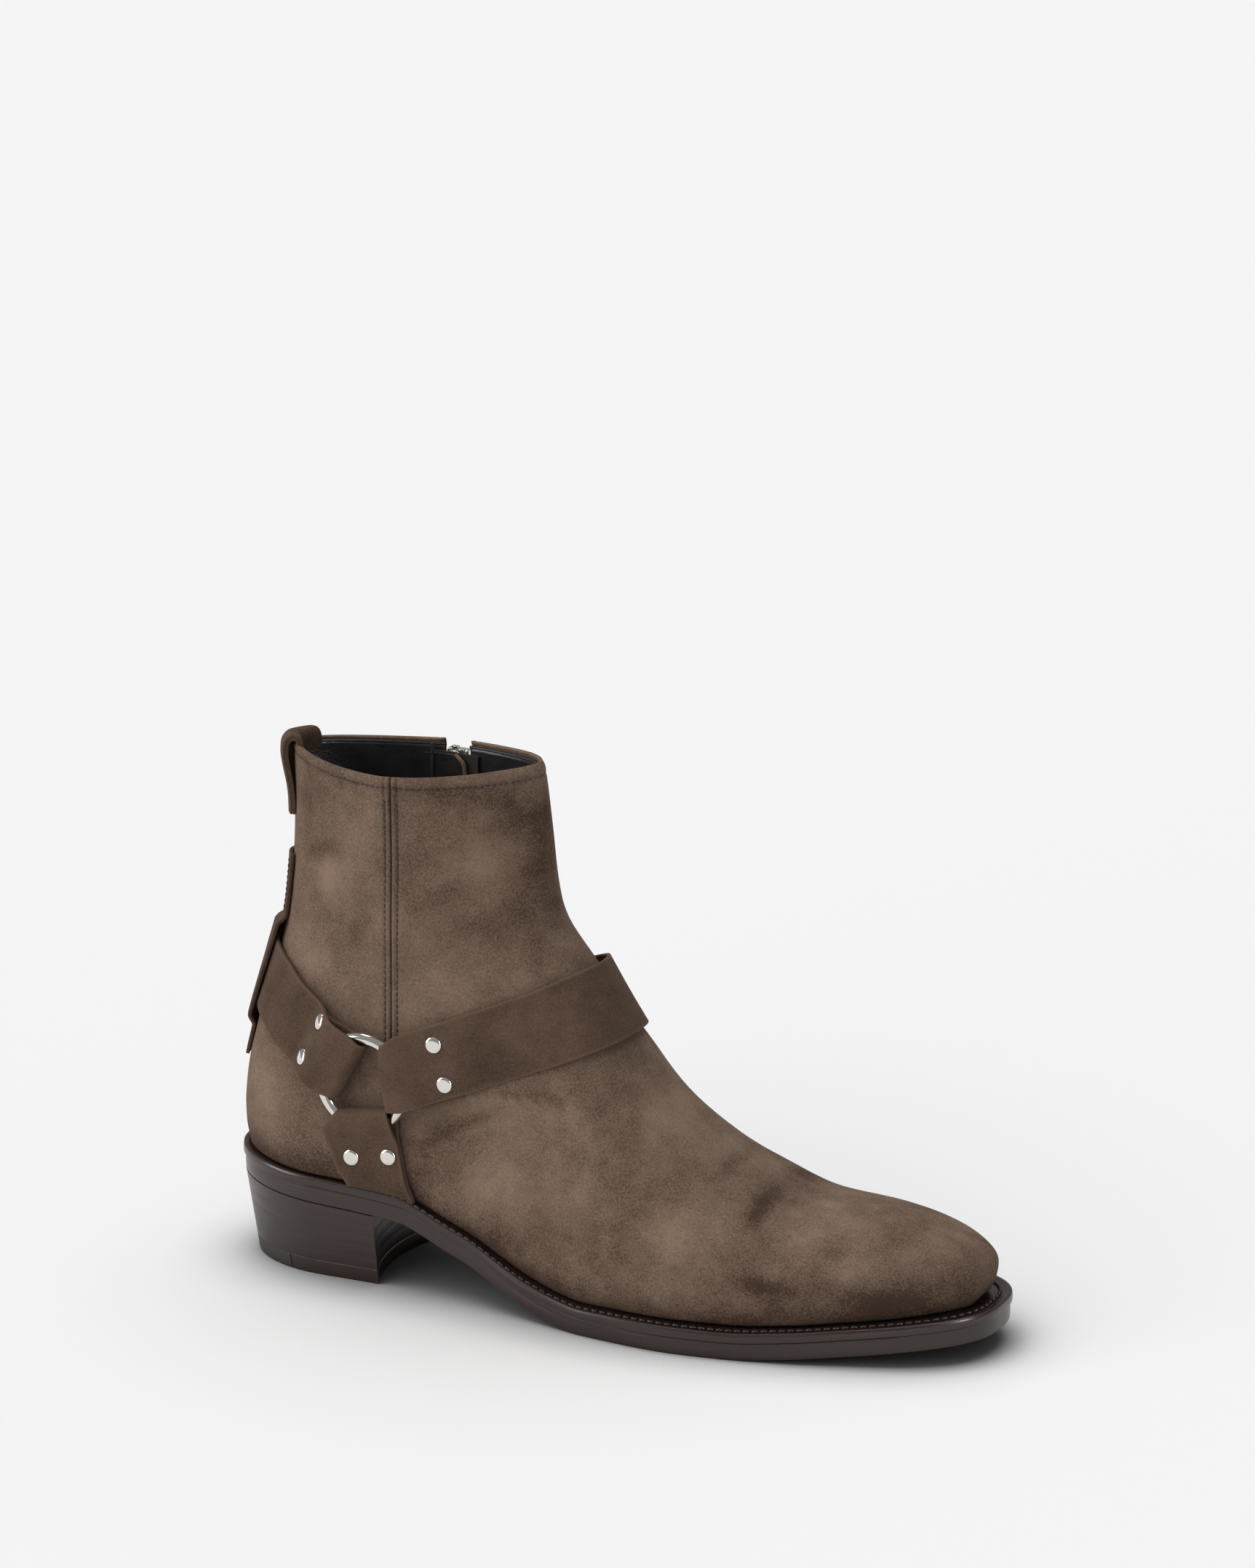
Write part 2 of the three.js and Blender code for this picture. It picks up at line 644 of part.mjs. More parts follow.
// A strap that leaves one ring, runs round the front or the back of the upper and meets the other
// ring. slope is its rise away from the ring, foldAt the ring's middle to its fold.
function wrapStrap({ slope, front, foldAt, lift, width, middleSteps, standOff }) {
  const [c, s] = [Math.cos(radians(slope)), Math.sin(radians(slope))];
  const along = new THREE.Vector3(front ? c : -c, 0, s);
  const across = new THREE.Vector3(front ? -s : s, 0, c);
  const ring = new THREE.Vector3(ringX, 0, ringZ);
  const base = across.dot(ring) + lift;
  const rows = [-0.5, -0.25, 0, 0.25, 0.5];
  const [outer, inner] = [[], []];
  for (const k of rows) {
    const height = base + k * width;
    const tAt = (turn) => solveRising((t) => across.dot(upperPoint(turn, t)), height, 0, 1);
    const reach = (turn) => along.dot(upperPoint(turn, tAt(turn)).sub(ring));
    const turnAt = (distance, side) => {
      const half = (a) => reach(side < 0 ? a : -a);
      const found = front
        ? solveRising(half, distance, 0.6, Math.PI)
        : Math.PI - solveRising((a) => half(Math.PI - a), distance, 0, Math.PI - 0.2);
      return side < 0 ? found : 2 * Math.PI - found;
    };
    const folds = (side) => foldSteps.map((d) => ({ turn: turnAt(foldAt + d, side), edge: d, side }));
    const [from, to] = [folds(-1), folds(1)];
    const turnOf = (entry) => (front ? entry.turn : entry.turn > Math.PI ? entry.turn - 2 * Math.PI : entry.turn);
    const [a, b] = [turnOf(from[foldSteps.length - 1]), turnOf(to[foldSteps.length - 1])];
    const between = Array.from({ length: middleSteps - 1 }, (_, i) => {
      const turn = mix(a, b, (i + 1) / middleSteps);
      const side = Math.sin(turn) >= 0 ? -1 : 1;
      return { turn, edge: 99, side };
    });
    const entries = [...from, ...between, ...to.reverse()].map((e) => ({ ...e, turn: turnOf(e) }));
    const [rowOut, rowIn] = [[], []];
    for (const { turn, edge, side } of entries) {
      const t = tAt(turn);
      const point = upperPoint(turn, t);
      const [near, far] = strapFaces(point, side, along.dot(point.clone().sub(ring)), edge);
      const bridge = standOff * (0.7 + k) * smooth(1.3 - Math.abs(turn - Math.PI) / 0.9);
      const normal = upperNormal(turn, t);
      rowOut.push(point.clone().addScaledVector(normal, far + bridge));
      rowIn.push(point.clone().addScaledVector(normal, near + bridge));
    }
    outer.push(rowOut);
    inner.push(rowIn);
  }
  return sheet(outer, inner);
}

const tunnel = (side) => torusAt(ringFrames[side], wireRadius + gap + 0.35, 32, 8);
const bothTunnels = (geometry) => cut(cut(geometry, tunnel(-1)), tunnel(1));
const instepStrap = {
  slope: instepSlope,
  front: true,
  foldAt: 10,
  lift: -0.5,
  width: strapWidth,
  middleSteps: 20,
  standOff: instepStandOff,
};
const heelStrap = {
  slope: heelStrapSlope,
  front: false,
  foldAt: 5.8,
  lift: 0.8,
  width: strapWidth - 0.5,
  middleSteps: 14,
  standOff: 0,
};
add("strap_instep", bothTunnels(wrapStrap(instepStrap)), "strapSuede");
add("strap_heel", bothTunnels(wrapStrap(heelStrap)), "strapSuede");

// The strap from a ring down to the welt: its outline by distance below the ring's middle, with the
// back and front edges measured from the strap's leaning middle line.
const sideStrapOutline = [
  { down: 10.5, back: -11.2, front: 9.2 },
  { down: 13, back: -14, front: 9.8 },
  { down: 17, back: -17.6, front: 10.3 },
  { down: 22, back: -18.3, front: 10.5 },
  { down: 30, back: -17.3, front: 10.9 },
  { down: 37, back: -14.5, front: 11.6 },
  { down: 50, back: -11.5, front: 13 },
];
function sideStrap(side) {
  const lean = radians(sideStrapLean);
  const edgeOf = (name) => columnCurve(sideStrapOutline, "down", name);
  const [backEdge, frontEdge] = [edgeOf("back"), edgeOf("front")];
  const place = (down, k) => {
    const across = mix(backEdge(down), frontEdge(down), k);
    return {
      x: ringX + down * Math.sin(lean) + across * Math.cos(lean),
      z: ringZ - down * Math.cos(lean) + across * Math.sin(lean),
    };
  };
  const columns = [0, 0.12, 0.3, 0.5, 0.7, 0.88, 1];
  const depths = [0, 0.6, 1.6, 3.2, 5.2, 7.5, 10, 13, 17, 21, 25, 29];
  const top = sideStrapOutline[0].down;
  const [outer, inner] = [[], []];
  for (const depth of depths) {
    const [rowOut, rowIn] = [[], []];
    for (const k of columns) {
      const floorAt = (down) => -(place(down, k).z - feather(place(down, k).x) - 3 * gap);
      const lowest = solveRising(floorAt, 0, 20, 60);
      const down = mix(top, lowest, depth / 29);
      const { x, z } = place(down, k);
      const { point, normal } = onSide(x, z, side);
      const [near, far] = strapFaces(point, side, down, depth);
      rowOut.push(point.clone().addScaledVector(normal, far));
      rowIn.push(point.clone().addScaledVector(normal, near));
    }
    outer.push(rowOut);
    inner.push(rowIn);
  }
  return cut(sheet(outer, inner), tunnel(side));
}
add("strap_side_lateral", sideStrap(-1), "strapSuede");
add("strap_side_medial", sideStrap(1), "strapSuede");

// Rivets: where they sit in the side view, and the direction of their strap away from the ring
const rivets = [
  { name: "heel_upper", x: 49.5, z: 101.5, direction: 180 - heelStrapSlope },
  { name: "heel_lower", x: 41.8, z: 86.7, direction: 180 - heelStrapSlope },
  { name: "instep_upper", x: 94, z: 99.3, direction: instepSlope },
  { name: "instep_lower", x: 98.6, z: 84.8, direction: instepSlope },
  { name: "side_back", x: 60.9, z: 51.4, direction: sideStrapLean - 90 },
  { name: "side_front", x: 76.3, z: 53.7, direction: sideStrapLean - 90 },
];
function rivet({ x, z, direction }, side) {
  const [c, s] = [Math.cos(radians(direction)), Math.sin(radians(direction))];
  const face = (px, pz) => {
    const { point, normal } = onSide(px, pz, side);
    const [, far] = strapFaces(point, side, (px - ringX) * c + (pz - ringZ) * s, 99);
    return point.addScaledVector(normal, far);
  };
  const across = face(x + rivetRadius, z).sub(face(x - rivetRadius, z));
  const upward = face(x, z + rivetRadius).sub(face(x, z - rivetRadius));
  const normal = new THREE.Vector3().crossVectors(across, upward).normalize();
  if (normal.y * side < 0) normal.negate();
  const seat = face(x, z).addScaledVector(normal, rivetSeat);
  const profile = [
    [0, 0],
    [1, 0],
    [0.9, 0.55],
    [0.5, 0.92],
    [0, 1],
  ].map(([r, h]) => new THREE.Vector2(r * rivetRadius, h * rivetHeight));
  const up = new THREE.Quaternion().setFromUnitVectors(new THREE.Vector3(0, 1, 0), normal);
  const cap = new THREE.LatheGeometry(profile, 12).applyQuaternion(up);
  return fromManifold(toManifold(cap.translate(seat.x, seat.y, seat.z)));
}
for (const [word, side] of [
  ["lateral", -1],
  ["medial", 1],
])
  for (const place of rivets) add("rivet_" + place.name + "_" + word, rivet(place, side), "steel");

// The strip down the back seam, which stands off to let the heel strap pass: height above the floor
// and the distance of its inner face from the upper.
const over = single + gap + 0.4;
const keeperRows = [
  { z: 156, off: 0.6 },
  { z: 148, off: 0.6 },
  { z: 139, off: 0.6 },
  { z: 131.5, off: 0.6 },
  { z: 127.5, off: over },
  { z: 118, off: over },
  { z: 108, off: over },
  { z: 98, off: over },
  { z: 90.5, off: over },
  { z: 86.5, off: 0.6 },
  { z: 81, off: 0.6 },
  { z: 75, off: 0.6 },
];
const stripColumns = [-1, -0.66, -0.33, 0, 0.33, 0.66, 1];
function backStrip(rows, width, thickness) {
  const grid = (extra) =>
    rows.map(({ z, off }) =>
      stripColumns.map((k) => onBack((k * width) / 2, z, off + extra).point),
    );
  return sheet(grid(thickness), grid(0));
}
add("back_keeper", backStrip(keeperRows, keeperWidth, layer), "strapSuede");

// The pull loop: the middle of the ribbon as height and distance behind the shaft's back, from its
// foot outside the collar, over the rim and down inside.
const loopPath = [
  { z: 171, behind: 2 },
  { z: 177, behind: 2.1 },
  { z: 183, behind: 3 },
  { z: 189, behind: 4.3 },
  { z: 194.5, behind: 4.9 },
  { z: 198.5, behind: 4.3 },
  { z: 200.9, behind: 2.2 },
  { z: 201.5, behind: -0.8 },
  { z: 200.6, behind: -3.8 },
  { z: 197.5, behind: -5.3 },
  { z: 192, behind: -5.3 },
  { z: 185, behind: -5.1 },
];
function pullLoop() {
  const middles = loopPath.map(({ z, behind }) =>
    stripColumns.map((k) => {
      const seat = onBack((k * loopWidth) / 2, Math.min(z, collarHeight - 3)).point;
      return new THREE.Vector3(seat.x - behind, seat.y, z);
    }),
  );
  const face = (sign) =>
    middles.map((row, r) =>
      row.map((p, c) => {
        const before = middles[Math.max(r - 1, 0)][c];
        const after = middles[Math.min(r + 1, middles.length - 1)][c];
        const path = after.clone().sub(before).normalize();
        const out = new THREE.Vector3(-path.z, 0, path.x);
        return p.clone().addScaledVector(out, (sign * loopThickness) / 2);
      }),
    );
  return sheet(face(1), face(-1));
}
add("pull_loop", pullLoop(), "suede");

// Upright strips that follow the inner side at the zip, between two distances off its outside.
const collarAt = (x) => {
  const turn = solveRising((a) => upperPoint(a, 1).x, x, 0, Math.PI);
  return upperPoint(turn, 1).z;
};
function uprightStrip(width, bottom, topDrop, near, far, rows) {
  const columns = width > 10 ? [-1, -0.5, 0, 0.5, 1] : [-1, 0, 1];
  const grid = (distance) =>
    Array.from({ length: rows }, (_, r) =>
      columns.map((k) => {
        const x = zipX + (k * width) / 2;
        const z = mix(bottom, collarAt(zipX) - topDrop, r / (rows - 1));
        return onSide(x, z, 1, distance).point;
      }),
    );
  return sheet(grid(far), grid(near));
}
const tapeFace = -wall - gap - 0.15;
add("zip_tape", uprightStrip(tapeWidth, slotBottom - 6, 1, tapeFace - tapeThickness, tapeFace, 10), "tape");
const guardFace = tapeFace - tapeThickness - gap - 0.15;
add("zip_guard", uprightStrip(guardWidth, slotBottom - 8, 1.5, guardFace - guardThickness, guardFace, 10), "lining");
const chainSeat = tapeFace + gap + 0.1;
const chainFace = chainSeat + chainThickness;
add("zip_chain", uprightStrip(chainWidth, slotBottom + 1, 3, chainSeat, chainFace, 10), "steel");

// The slider, in its own frame: X along the boot, Y up the zip, Z outwards from the tape's face.
const sliderZ = collarAt(zipX) - sliderDrop;
const sliderSeat = onSide(zipX, sliderZ, 1, chainSeat);
const upZip = onSide(zipX, sliderZ + 6, 1).point.sub(onSide(zipX, sliderZ - 6, 1).point).normalize();
const sliderX = new THREE.Vector3().crossVectors(upZip, sliderSeat.normal).normalize();
const sliderFrame = new THREE.Matrix4()
  .makeBasis(sliderX, upZip, new THREE.Vector3().crossVectors(sliderX, upZip))
  .setPosition(sliderSeat.point);
const box = (w, h, d, x, y, z) => new THREE.BoxGeometry(w, h, d).translate(x, y, z);
const bodyTop = chainThickness + 0.45 + 1.1;
const barHeight = bodyTop + 0.4 + pullThickness / 2;
const bridgeGap = barHeight + pullThickness / 2 + 0.4;
function slider() {
  const body = toManifold(box(9, 11, bodyTop, 0, 0, bodyTop / 2));
  const channel = toManifold(box(chainWidth + 0.8, 14, chainThickness + 0.45, 0, 0, (chainThickness + 0.45) / 2 - 0.01));
  const bridge = toManifold(box(1.6, 4.8, bridgeGap + 0.9 - bodyTop + 0.2, 0, 0, (bridgeGap + 0.9 + bodyTop - 0.2) / 2));
  const eye = toManifold(box(3, 3.2, bridgeGap - bodyTop, 0, 0, (bridgeGap + bodyTop) / 2));
  return fromManifold(body.subtract(channel).add(bridge.subtract(eye)));
}
function pullTab() {
  const shape = new THREE.Shape();
  const half = pullWidth / 2;
  shape.moveTo(-half + 0.6, 0.5);
  shape.lineTo(half - 0.6, 0.5);
  shape.lineTo(half, -0.4);
  shape.lineTo(half - 0.4, -8);
  shape.lineTo(half, -pullLength + 2);
  shape.lineTo(half - 1.2, -pullLength + 0.5);
  shape.lineTo(-half + 1.2, -pullLength + 0.5);
  shape.lineTo(-half, -pullLength + 2);
  shape.lineTo(-half + 0.4, -8);
  shape.lineTo(-half, -0.4);
  shape.closePath();
  const eye = new THREE.Path();
  eye.moveTo(-1.2, -0.5);
  eye.lineTo(-1.2, -3.6);
  eye.lineTo(1.2, -3.6);
  eye.lineTo(1.2, -0.5);
  eye.closePath();
  shape.holes.push(eye);
  const plateOf = new THREE.ExtrudeGeometry(shape, { depth: pullThickness, bevelEnabled: false });
  return fromManifold(toManifold(plateOf.translate(0, 0, barHeight - pullThickness / 2)));
}
add("zip_slider", slider().applyMatrix4(sliderFrame), "steel");
add("zip_pull", pullTab().applyMatrix4(sliderFrame), "steel");

// Back end of the heel at x = 0 and toe at x = soleLength, moved so that X is centred.
boot.updateMatrixWorld(true);
const bounds = new THREE.Box3().setFromObject(boot);
const middle = bounds.getCenter(new THREE.Vector3());
boot.traverse((o) => {
  if (o.isMesh) o.geometry.translate(-middle.x, -middle.y, -bounds.min.z);
});

export default boot;
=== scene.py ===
"""Dresses a right-foot harness ankle boot: brushed suede over a leather lining, straps riveted round
a ring on each side, a welted leather sole, a stacked heel and a zip on the inner side."""

import math

import bpy
import numpy as np
from mathutils import Matrix, Vector


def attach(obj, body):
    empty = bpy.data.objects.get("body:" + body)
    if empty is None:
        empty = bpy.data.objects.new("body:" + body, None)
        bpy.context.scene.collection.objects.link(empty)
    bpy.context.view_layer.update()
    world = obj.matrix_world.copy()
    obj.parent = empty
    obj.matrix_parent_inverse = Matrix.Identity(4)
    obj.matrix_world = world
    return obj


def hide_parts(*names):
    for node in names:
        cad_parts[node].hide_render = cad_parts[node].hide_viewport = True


bl_info = {
    "name": "Harness boot",
    "version": (1, 0, 0),
    "blender": (4, 5, 0),
    "location": "3D View > Sidebar > Boot",
    "description": "Builds the suede, leather and metal pieces of a harness boot around its frame",
    "category": "Object",
}

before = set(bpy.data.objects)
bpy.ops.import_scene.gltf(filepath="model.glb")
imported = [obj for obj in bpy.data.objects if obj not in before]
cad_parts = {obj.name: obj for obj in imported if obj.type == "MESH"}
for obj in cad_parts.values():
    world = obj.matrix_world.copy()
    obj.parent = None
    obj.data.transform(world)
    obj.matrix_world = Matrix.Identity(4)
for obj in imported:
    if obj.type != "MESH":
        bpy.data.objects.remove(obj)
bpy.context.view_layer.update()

# Sizes of the boot in millimetres, measured from the back of the sole at the floor: X runs to the
# toe, Y to the inner side and Z up. They are those that the frame was made with.
SOLE_LENGTH = 304.0
BALL_WIDTH = 98.0
HEEL_HEIGHT = 32.6
TOE_SPRING = 8.8
HEEL_LENGTH = 67.0
BREAST_HOLLOW = 6.0
HEEL_UNDERCUT = 4.5
HEEL_SIDE_TAPER = 4.5
LIFT_THICKNESS = 6.0
RUBBER_LENGTH = 27.0
TIP_JOINT = 0.4
OUTSOLE_THICKNESS = 6.4
WELT_THICKNESS = 3.6
WELT_WIDTH = 13.5
WALL = 2.4
COLLAR_HEIGHT = 198.3
COLLAR_RISE = 3.0
COLLAR_DIP = 3.0
COLLAR_WIDTH = 58.0
ANKLE_WIDTH = 61.0
HEEL_POCKET_WIDTH = 64.0
TOE_MARGIN = 5.0
BALL_MARGIN = 3.8
HEEL_MARGIN = 1.2
FEATHER_TUCK = 3.0
HEEL_TUCK = 1.2
GAP = 0.3
RING_X = 66.0
RING_Z = 81.5
RING_RADIUS = 17.1
WIRE_RADIUS = 2.2
STRAP_LAYER = 1.6
DOUBLED_LENGTH = 38.0
RIVET_RADIUS = 3.3
ZIP_X = 74.5
SLOT_HALF = 5.5
SLOT_BOTTOM = 60.0
TIP_SHIFT = 5.6
MIDDLE_Y = 1.3495  # how far the middle of the boot's width lies to the inner side of the heel's
MM = 0.001
MERGE_DISTANCE = 0.01 * MM
PIPING_RADIUS = 0.62
UP = np.array([0.0, 0.0, 1.0])


def clamp(value, low, high):
    return np.minimum(high, np.maximum(low, value))


def mix(a, b, k):
    return a + (b - a) * k


def smooth(k):
    c = clamp(k, 0.0, 1.0)
    return c * c * (3 - 2 * c)


def to_frame(points):
    """Points of the boot in millimetres as points of the frame in metres."""
    return (np.asarray(points, float) - (SOLE_LENGTH / 2, MIDDLE_Y, 0.0)) * MM


def curve_through(at, value):
    """A smooth curve through the points (at, value) that never overshoots them."""
    at = np.array(at, float)
    value = np.array(value, float)
    slope = np.diff(value) / np.diff(at)
    before = slope[:-1]
    after = slope[1:]
    both = np.where(before * after > 0, before + after, 1.0)
    inner = np.where(before * after > 0, 2 * before * after / both, 0.0)
    tangent = np.concatenate([slope[:1], inner, slope[-1:]])

    def at_x(x):
        c = clamp(np.asarray(x, float), at[0], at[-1])
        i = np.clip(np.searchsorted(at, c, side="right") - 1, 0, len(at) - 2)
        h = at[i + 1] - at[i]
        k = (c - at[i]) / h
        return (
            value[i] * (2 * k**3 - 3 * k**2 + 1)
            + tangent[i] * h * (k**3 - 2 * k**2 + k)
            + value[i + 1] * (3 * k**2 - 2 * k**3)
            + tangent[i + 1] * h * (k**3 - k**2)
        )

    return at_x


def columns(rows):
    """The columns of a table, each as a curve over its first column."""
    table = np.array(rows, float)
    return [curve_through(table[:, 0], table[:, i]) for i in range(1, table.shape[1])]


def end_round(q, power):
    """Rises from 0 to 1 as q does, the way a rounded end does."""
    return (1 - (1 - clamp(q, 0.0, 1.0)) ** power) ** (1 / power)


# The sole's outline: share of its length, outer and inner half width as shares of the ball's width
outer_share, inner_share = columns([
    (0.0, 0.328, 0.335),
    (0.12, 0.352, 0.351),
    (0.22, 0.357, 0.34),
    (0.34, 0.381, 0.314),
    (0.44, 0.441, 0.318),
    (0.54, 0.502, 0.376),
    (0.63, 0.528, 0.456),
    (0.71, 0.505, 0.504),
    (0.79, 0.456, 0.48),
    (0.87, 0.384, 0.411),
    (0.94, 0.323, 0.344),
    (1.0, 0.284, 0.298),
])
HEEL_RUN = 0.137
TOE_RUN = 0.123
HEEL_POWER = 2.14
TOE_POWER = 2.54

# The sole's underside: share of its length, shares of the heel's height and of the toe's spring
heel_part, toe_part = columns([
    (0.0, 1, 0),
    (0.13, 0.92, 0),
    (0.26, 0.84, 0),
    (0.29, 0.745, 0),
    (0.32, 0.625, 0),
    (0.36, 0.48, 0),
    (0.4, 0.31, 0),
    (0.44, 0.16, 0),
    (0.48, 0.055, 0),
    (0.52, 0, 0),
    (0.7, 0, 0),
    (0.77, 0, 0.16),
    (0.85, 0, 0.46),
    (0.93, 0, 0.78),
    (1.0, 0, 1),
])

# The upper's side outline: share of the way up, x and height of its back and of its front line as
# shares of the sole's length and of the height, and how far a level keeps the sole's curve
back_x, back_up, front_x, front_up, follow_share = columns([
    (0.0, 0.0086, 0.0, 0.9707, 0.0, 1),
    (0.05, 0.0039, 0.05, 0.9845, 0.0401, 1),
    (0.1, 0.0026, 0.1, 0.978, 0.0775, 1),
    (0.15, 0.0039, 0.151, 0.9569, 0.1023, 1),
    (0.2, 0.0072, 0.203, 0.9178, 0.1292, 1),
    (0.27, 0.0145, 0.267, 0.8421, 0.1528, 1),
    (0.34, 0.023, 0.334, 0.7566, 0.1622, 0.95),
    (0.42, 0.0339, 0.407, 0.6661, 0.2248, 0.8),
    (0.5, 0.0457, 0.484, 0.5671, 0.3551, 0.6),
    (0.59, 0.0579, 0.569, 0.5217, 0.4596, 0.42),
    (0.69, 0.0645, 0.668, 0.4711, 0.5778, 0.25),
    (0.8, 0.0681, 0.776, 0.4211, 0.7081, 0.1),
    (0.9, 0.0691, 0.89, 0.4105, 0.8499, 0),
    (1.0, 0.0681, 1.0, 0.4, 1.0, 0),
])


def underside(x):
    return HEEL_HEIGHT * heel_part(x / SOLE_LENGTH) + TOE_SPRING * toe_part(x / SOLE_LENGTH)


def welt_bottom(x):
    return underside(x) + OUTSOLE_THICKNESS + GAP + 0.03


def welt_top(x):
    return welt_bottom(x) + WELT_THICKNESS


def feather(x):
    return welt_top(x) + GAP


def centre_line(x):
    return TIP_SHIFT * clamp(x / SOLE_LENGTH, 0, 1) ** 2


def side_half(x, side):
    share = x / SOLE_LENGTH
    return np.where(np.asarray(side) < 0, outer_share(share), inner_share(share)) * BALL_WIDTH


def half_width(x, side, inset):
    """Half width of the sole's outline at x, drawn in all round. side is -1 outside and 1 inside."""
    heel_end = end_round((x - inset) / (HEEL_RUN * SOLE_LENGTH), HEEL_POWER)
    toe_end = end_round((SOLE_LENGTH - inset - x) / (TOE_RUN * SOLE_LENGTH), TOE_POWER)
    return (side_half(x, side) - inset) * heel_end * toe_end


END_ZONE = 40.0  # the stretch at each end where an inset also draws the outline in along X


def outline_loop(count, inset, height):
    """A closed row of points over the sole's outline, from the heel round the outer side first."""
    turn = 2 * np.pi * np.arange(count) / count
    side = np.where(turn < np.pi, -1, 1)
    full = SOLE_LENGTH * (1 - np.cos(turn)) / 2
    near = clamp(1 - full / END_ZONE, 0, 1) ** 2
    far = clamp(1 - (SOLE_LENGTH - full) / END_ZONE, 0, 1) ** 2
    x = full + inset * (near - far)
    y = side * half_width(x, side, inset)
    y[0] = 0.0
    y[count // 2] = 0.0
    return np.stack([x, y + centre_line(x), height(x)], axis=1)


BACK_FEATHER = float(feather(0.0))
FRONT_FEATHER = float(feather(SOLE_LENGTH))
BACK_RANGE = COLLAR_HEIGHT - BACK_FEATHER
FRONT_RANGE = COLLAR_HEIGHT + COLLAR_RISE - FRONT_FEATHER


def back_point(t):
    return back_x(t) * SOLE_LENGTH, BACK_FEATHER + back_up(t) * BACK_RANGE


def front_point(t):
    return front_x(t) * SOLE_LENGTH, FRONT_FEATHER + front_up(t) * FRONT_RANGE


line_steps = np.linspace(0, 1, 401)
back_line = back_point(line_steps)
front_line = front_point(line_steps)
tip = int(np.argmax(front_line[0]))
margin_curve = curve_through([0, 0.3, 0.66, 1], [HEEL_MARGIN, HEEL_MARGIN, BALL_MARGIN, TOE_MARGIN])
tuck_curve = curve_through([0, 0.1, 0.35, 1], [HEEL_TUCK, HEEL_TUCK, FEATHER_TUCK, FEATHER_TUCK])
shaft_half = curve_through(
    [0.2, 0.35, 0.6, 0.85, 1],
    [HEEL_POCKET_WIDTH / 2, HEEL_POCKET_WIDTH / 2, ANKLE_WIDTH / 2, COLLAR_WIDTH / 2, COLLAR_WIDTH / 2],
)
back_power = curve_through([0.1, 0.5, 1], [HEEL_POWER, 1.75, 1.5])
front_power = curve_through([0.15, 0.5, 1], [2, 1.8, 1.6])
WIDEST_RISE = 11.0  # from the feather line up to where the foot is widest
ARCH_POWER = 2.15  # roundness of the foot's top across its width


def line_x(line, z):
    return np.interp(z, line[1], line[0])


def ridge(x):
    return np.interp(x, front_line[0][tip:][::-1], front_line[1][tip:][::-1])


def upper_half(x, z, side):
    """Half width of the upper's outside at x and height z, on one side."""
    low = clamp((z - feather(x)) / WIDEST_RISE, 0, 1)
    inset = margin_curve(x / SOLE_LENGTH) + tuck_curve(x / SOLE_LENGTH) * (1 - low) ** 2
    straight = side_half(x, side) - inset
    bulge = feather(x) + WIDEST_RISE
    rise = clamp((z - bulge) / np.maximum(ridge(x) - bulge, 1), 0, 1)
    foot = half_width(x, side, inset) * (1 - rise**ARCH_POWER) ** (1 / ARCH_POWER)
    share = (z - BACK_FEATHER) / BACK_RANGE
    back = line_x(back_line, z)
    front = line_x(front_line, z)
    half_length = (front - back) / 2
    run = np.minimum(mix(HEEL_RUN * SOLE_LENGTH, half_length, smooth(share / 0.6)), half_length)
    body = mix(straight, shaft_half(share), smooth(share / 0.22))
    back_end = end_round((x - back) / run, back_power(share))
    front_end = end_round((front - x) / np.minimum(run * 1.15, half_length), front_power(share))
    return mix(body * back_end * front_end, foot, smooth((x / SOLE_LENGTH - 0.36) / 0.2))


def toe_end_x(z):
    """How far forward the last reaches at height z above the toe's feather line."""
    low = clamp((z - FRONT_FEATHER) / WIDEST_RISE, 0, 1)
    return SOLE_LENGTH - TOE_MARGIN - FEATHER_TUCK * (1 - low) ** 2


def upper_point(turn, t):
    """A point of the upper's outside. turn runs from 0 at the back round the outer side to pi at the
    front and on round the inner side, and t from 0 at the feather line to 1 at the collar."""
    turn, t = np.broadcast_arrays(np.asarray(turn, float), np.asarray(t, float))
    bx, bz = back_point(t)
    fx, fz = front_point(t)
    fx = np.minimum(fx, toe_end_x(fz) - 0.02)
    s = (1 - np.cos(turn)) / 2
    side = np.where(np.sin(turn) >= 0, -1, 1)
    x = mix(bx, fx, s)
    level = mix(bz, fz, s) + follow_share(t) * (feather(x) - mix(feather(bx), feather(fx), s))
    half = np.where(np.abs(np.sin(turn)) < 1e-6, 0.0, upper_half(x, level, side))
    z = level - COLLAR_DIP * 4 * s * (1 - s) * smooth((t - 0.6) / 0.4)
    return np.stack([x, side * half + centre_line(x), z], axis=-1)


def unit(v):
    return v / np.maximum(np.linalg.norm(v, axis=-1, keepdims=True), 1e-9)


def upper_normal(turn, t):
    along = upper_point(turn + 0.045, t) - upper_point(turn - 0.045, t)
    upward = upper_point(turn, np.minimum(t + 0.012, 1)) - upper_point(turn, np.maximum(t - 0.012, 0))
    return unit(np.cross(along, upward))


def turn_at(x, t, side):
    """The turn at which level t passes x on one side."""
    bx, _ = back_point(t)
    fx, _ = front_point(t)
    half_turn = np.arccos(clamp(1 - 2 * (x - bx) / (fx - bx), -1, 1))
    return np.where(np.asarray(side) < 0, half_turn, 2 * np.pi - half_turn)


def solve_rising(rising, goal, low, high):
    """The value between low and high at which a rising function reaches its goal."""
    low = np.broadcast_to(np.asarray(low, float), np.shape(goal)).copy()
    high = np.broadcast_to(np.asarray(high, float), np.shape(goal)).copy()
    for _ in range(26):
        middle = (low + high) / 2
        below = rising(middle) < goal
        low = np.where(below, middle, low)
        high = np.where(below, high, middle)
    return (low + high) / 2


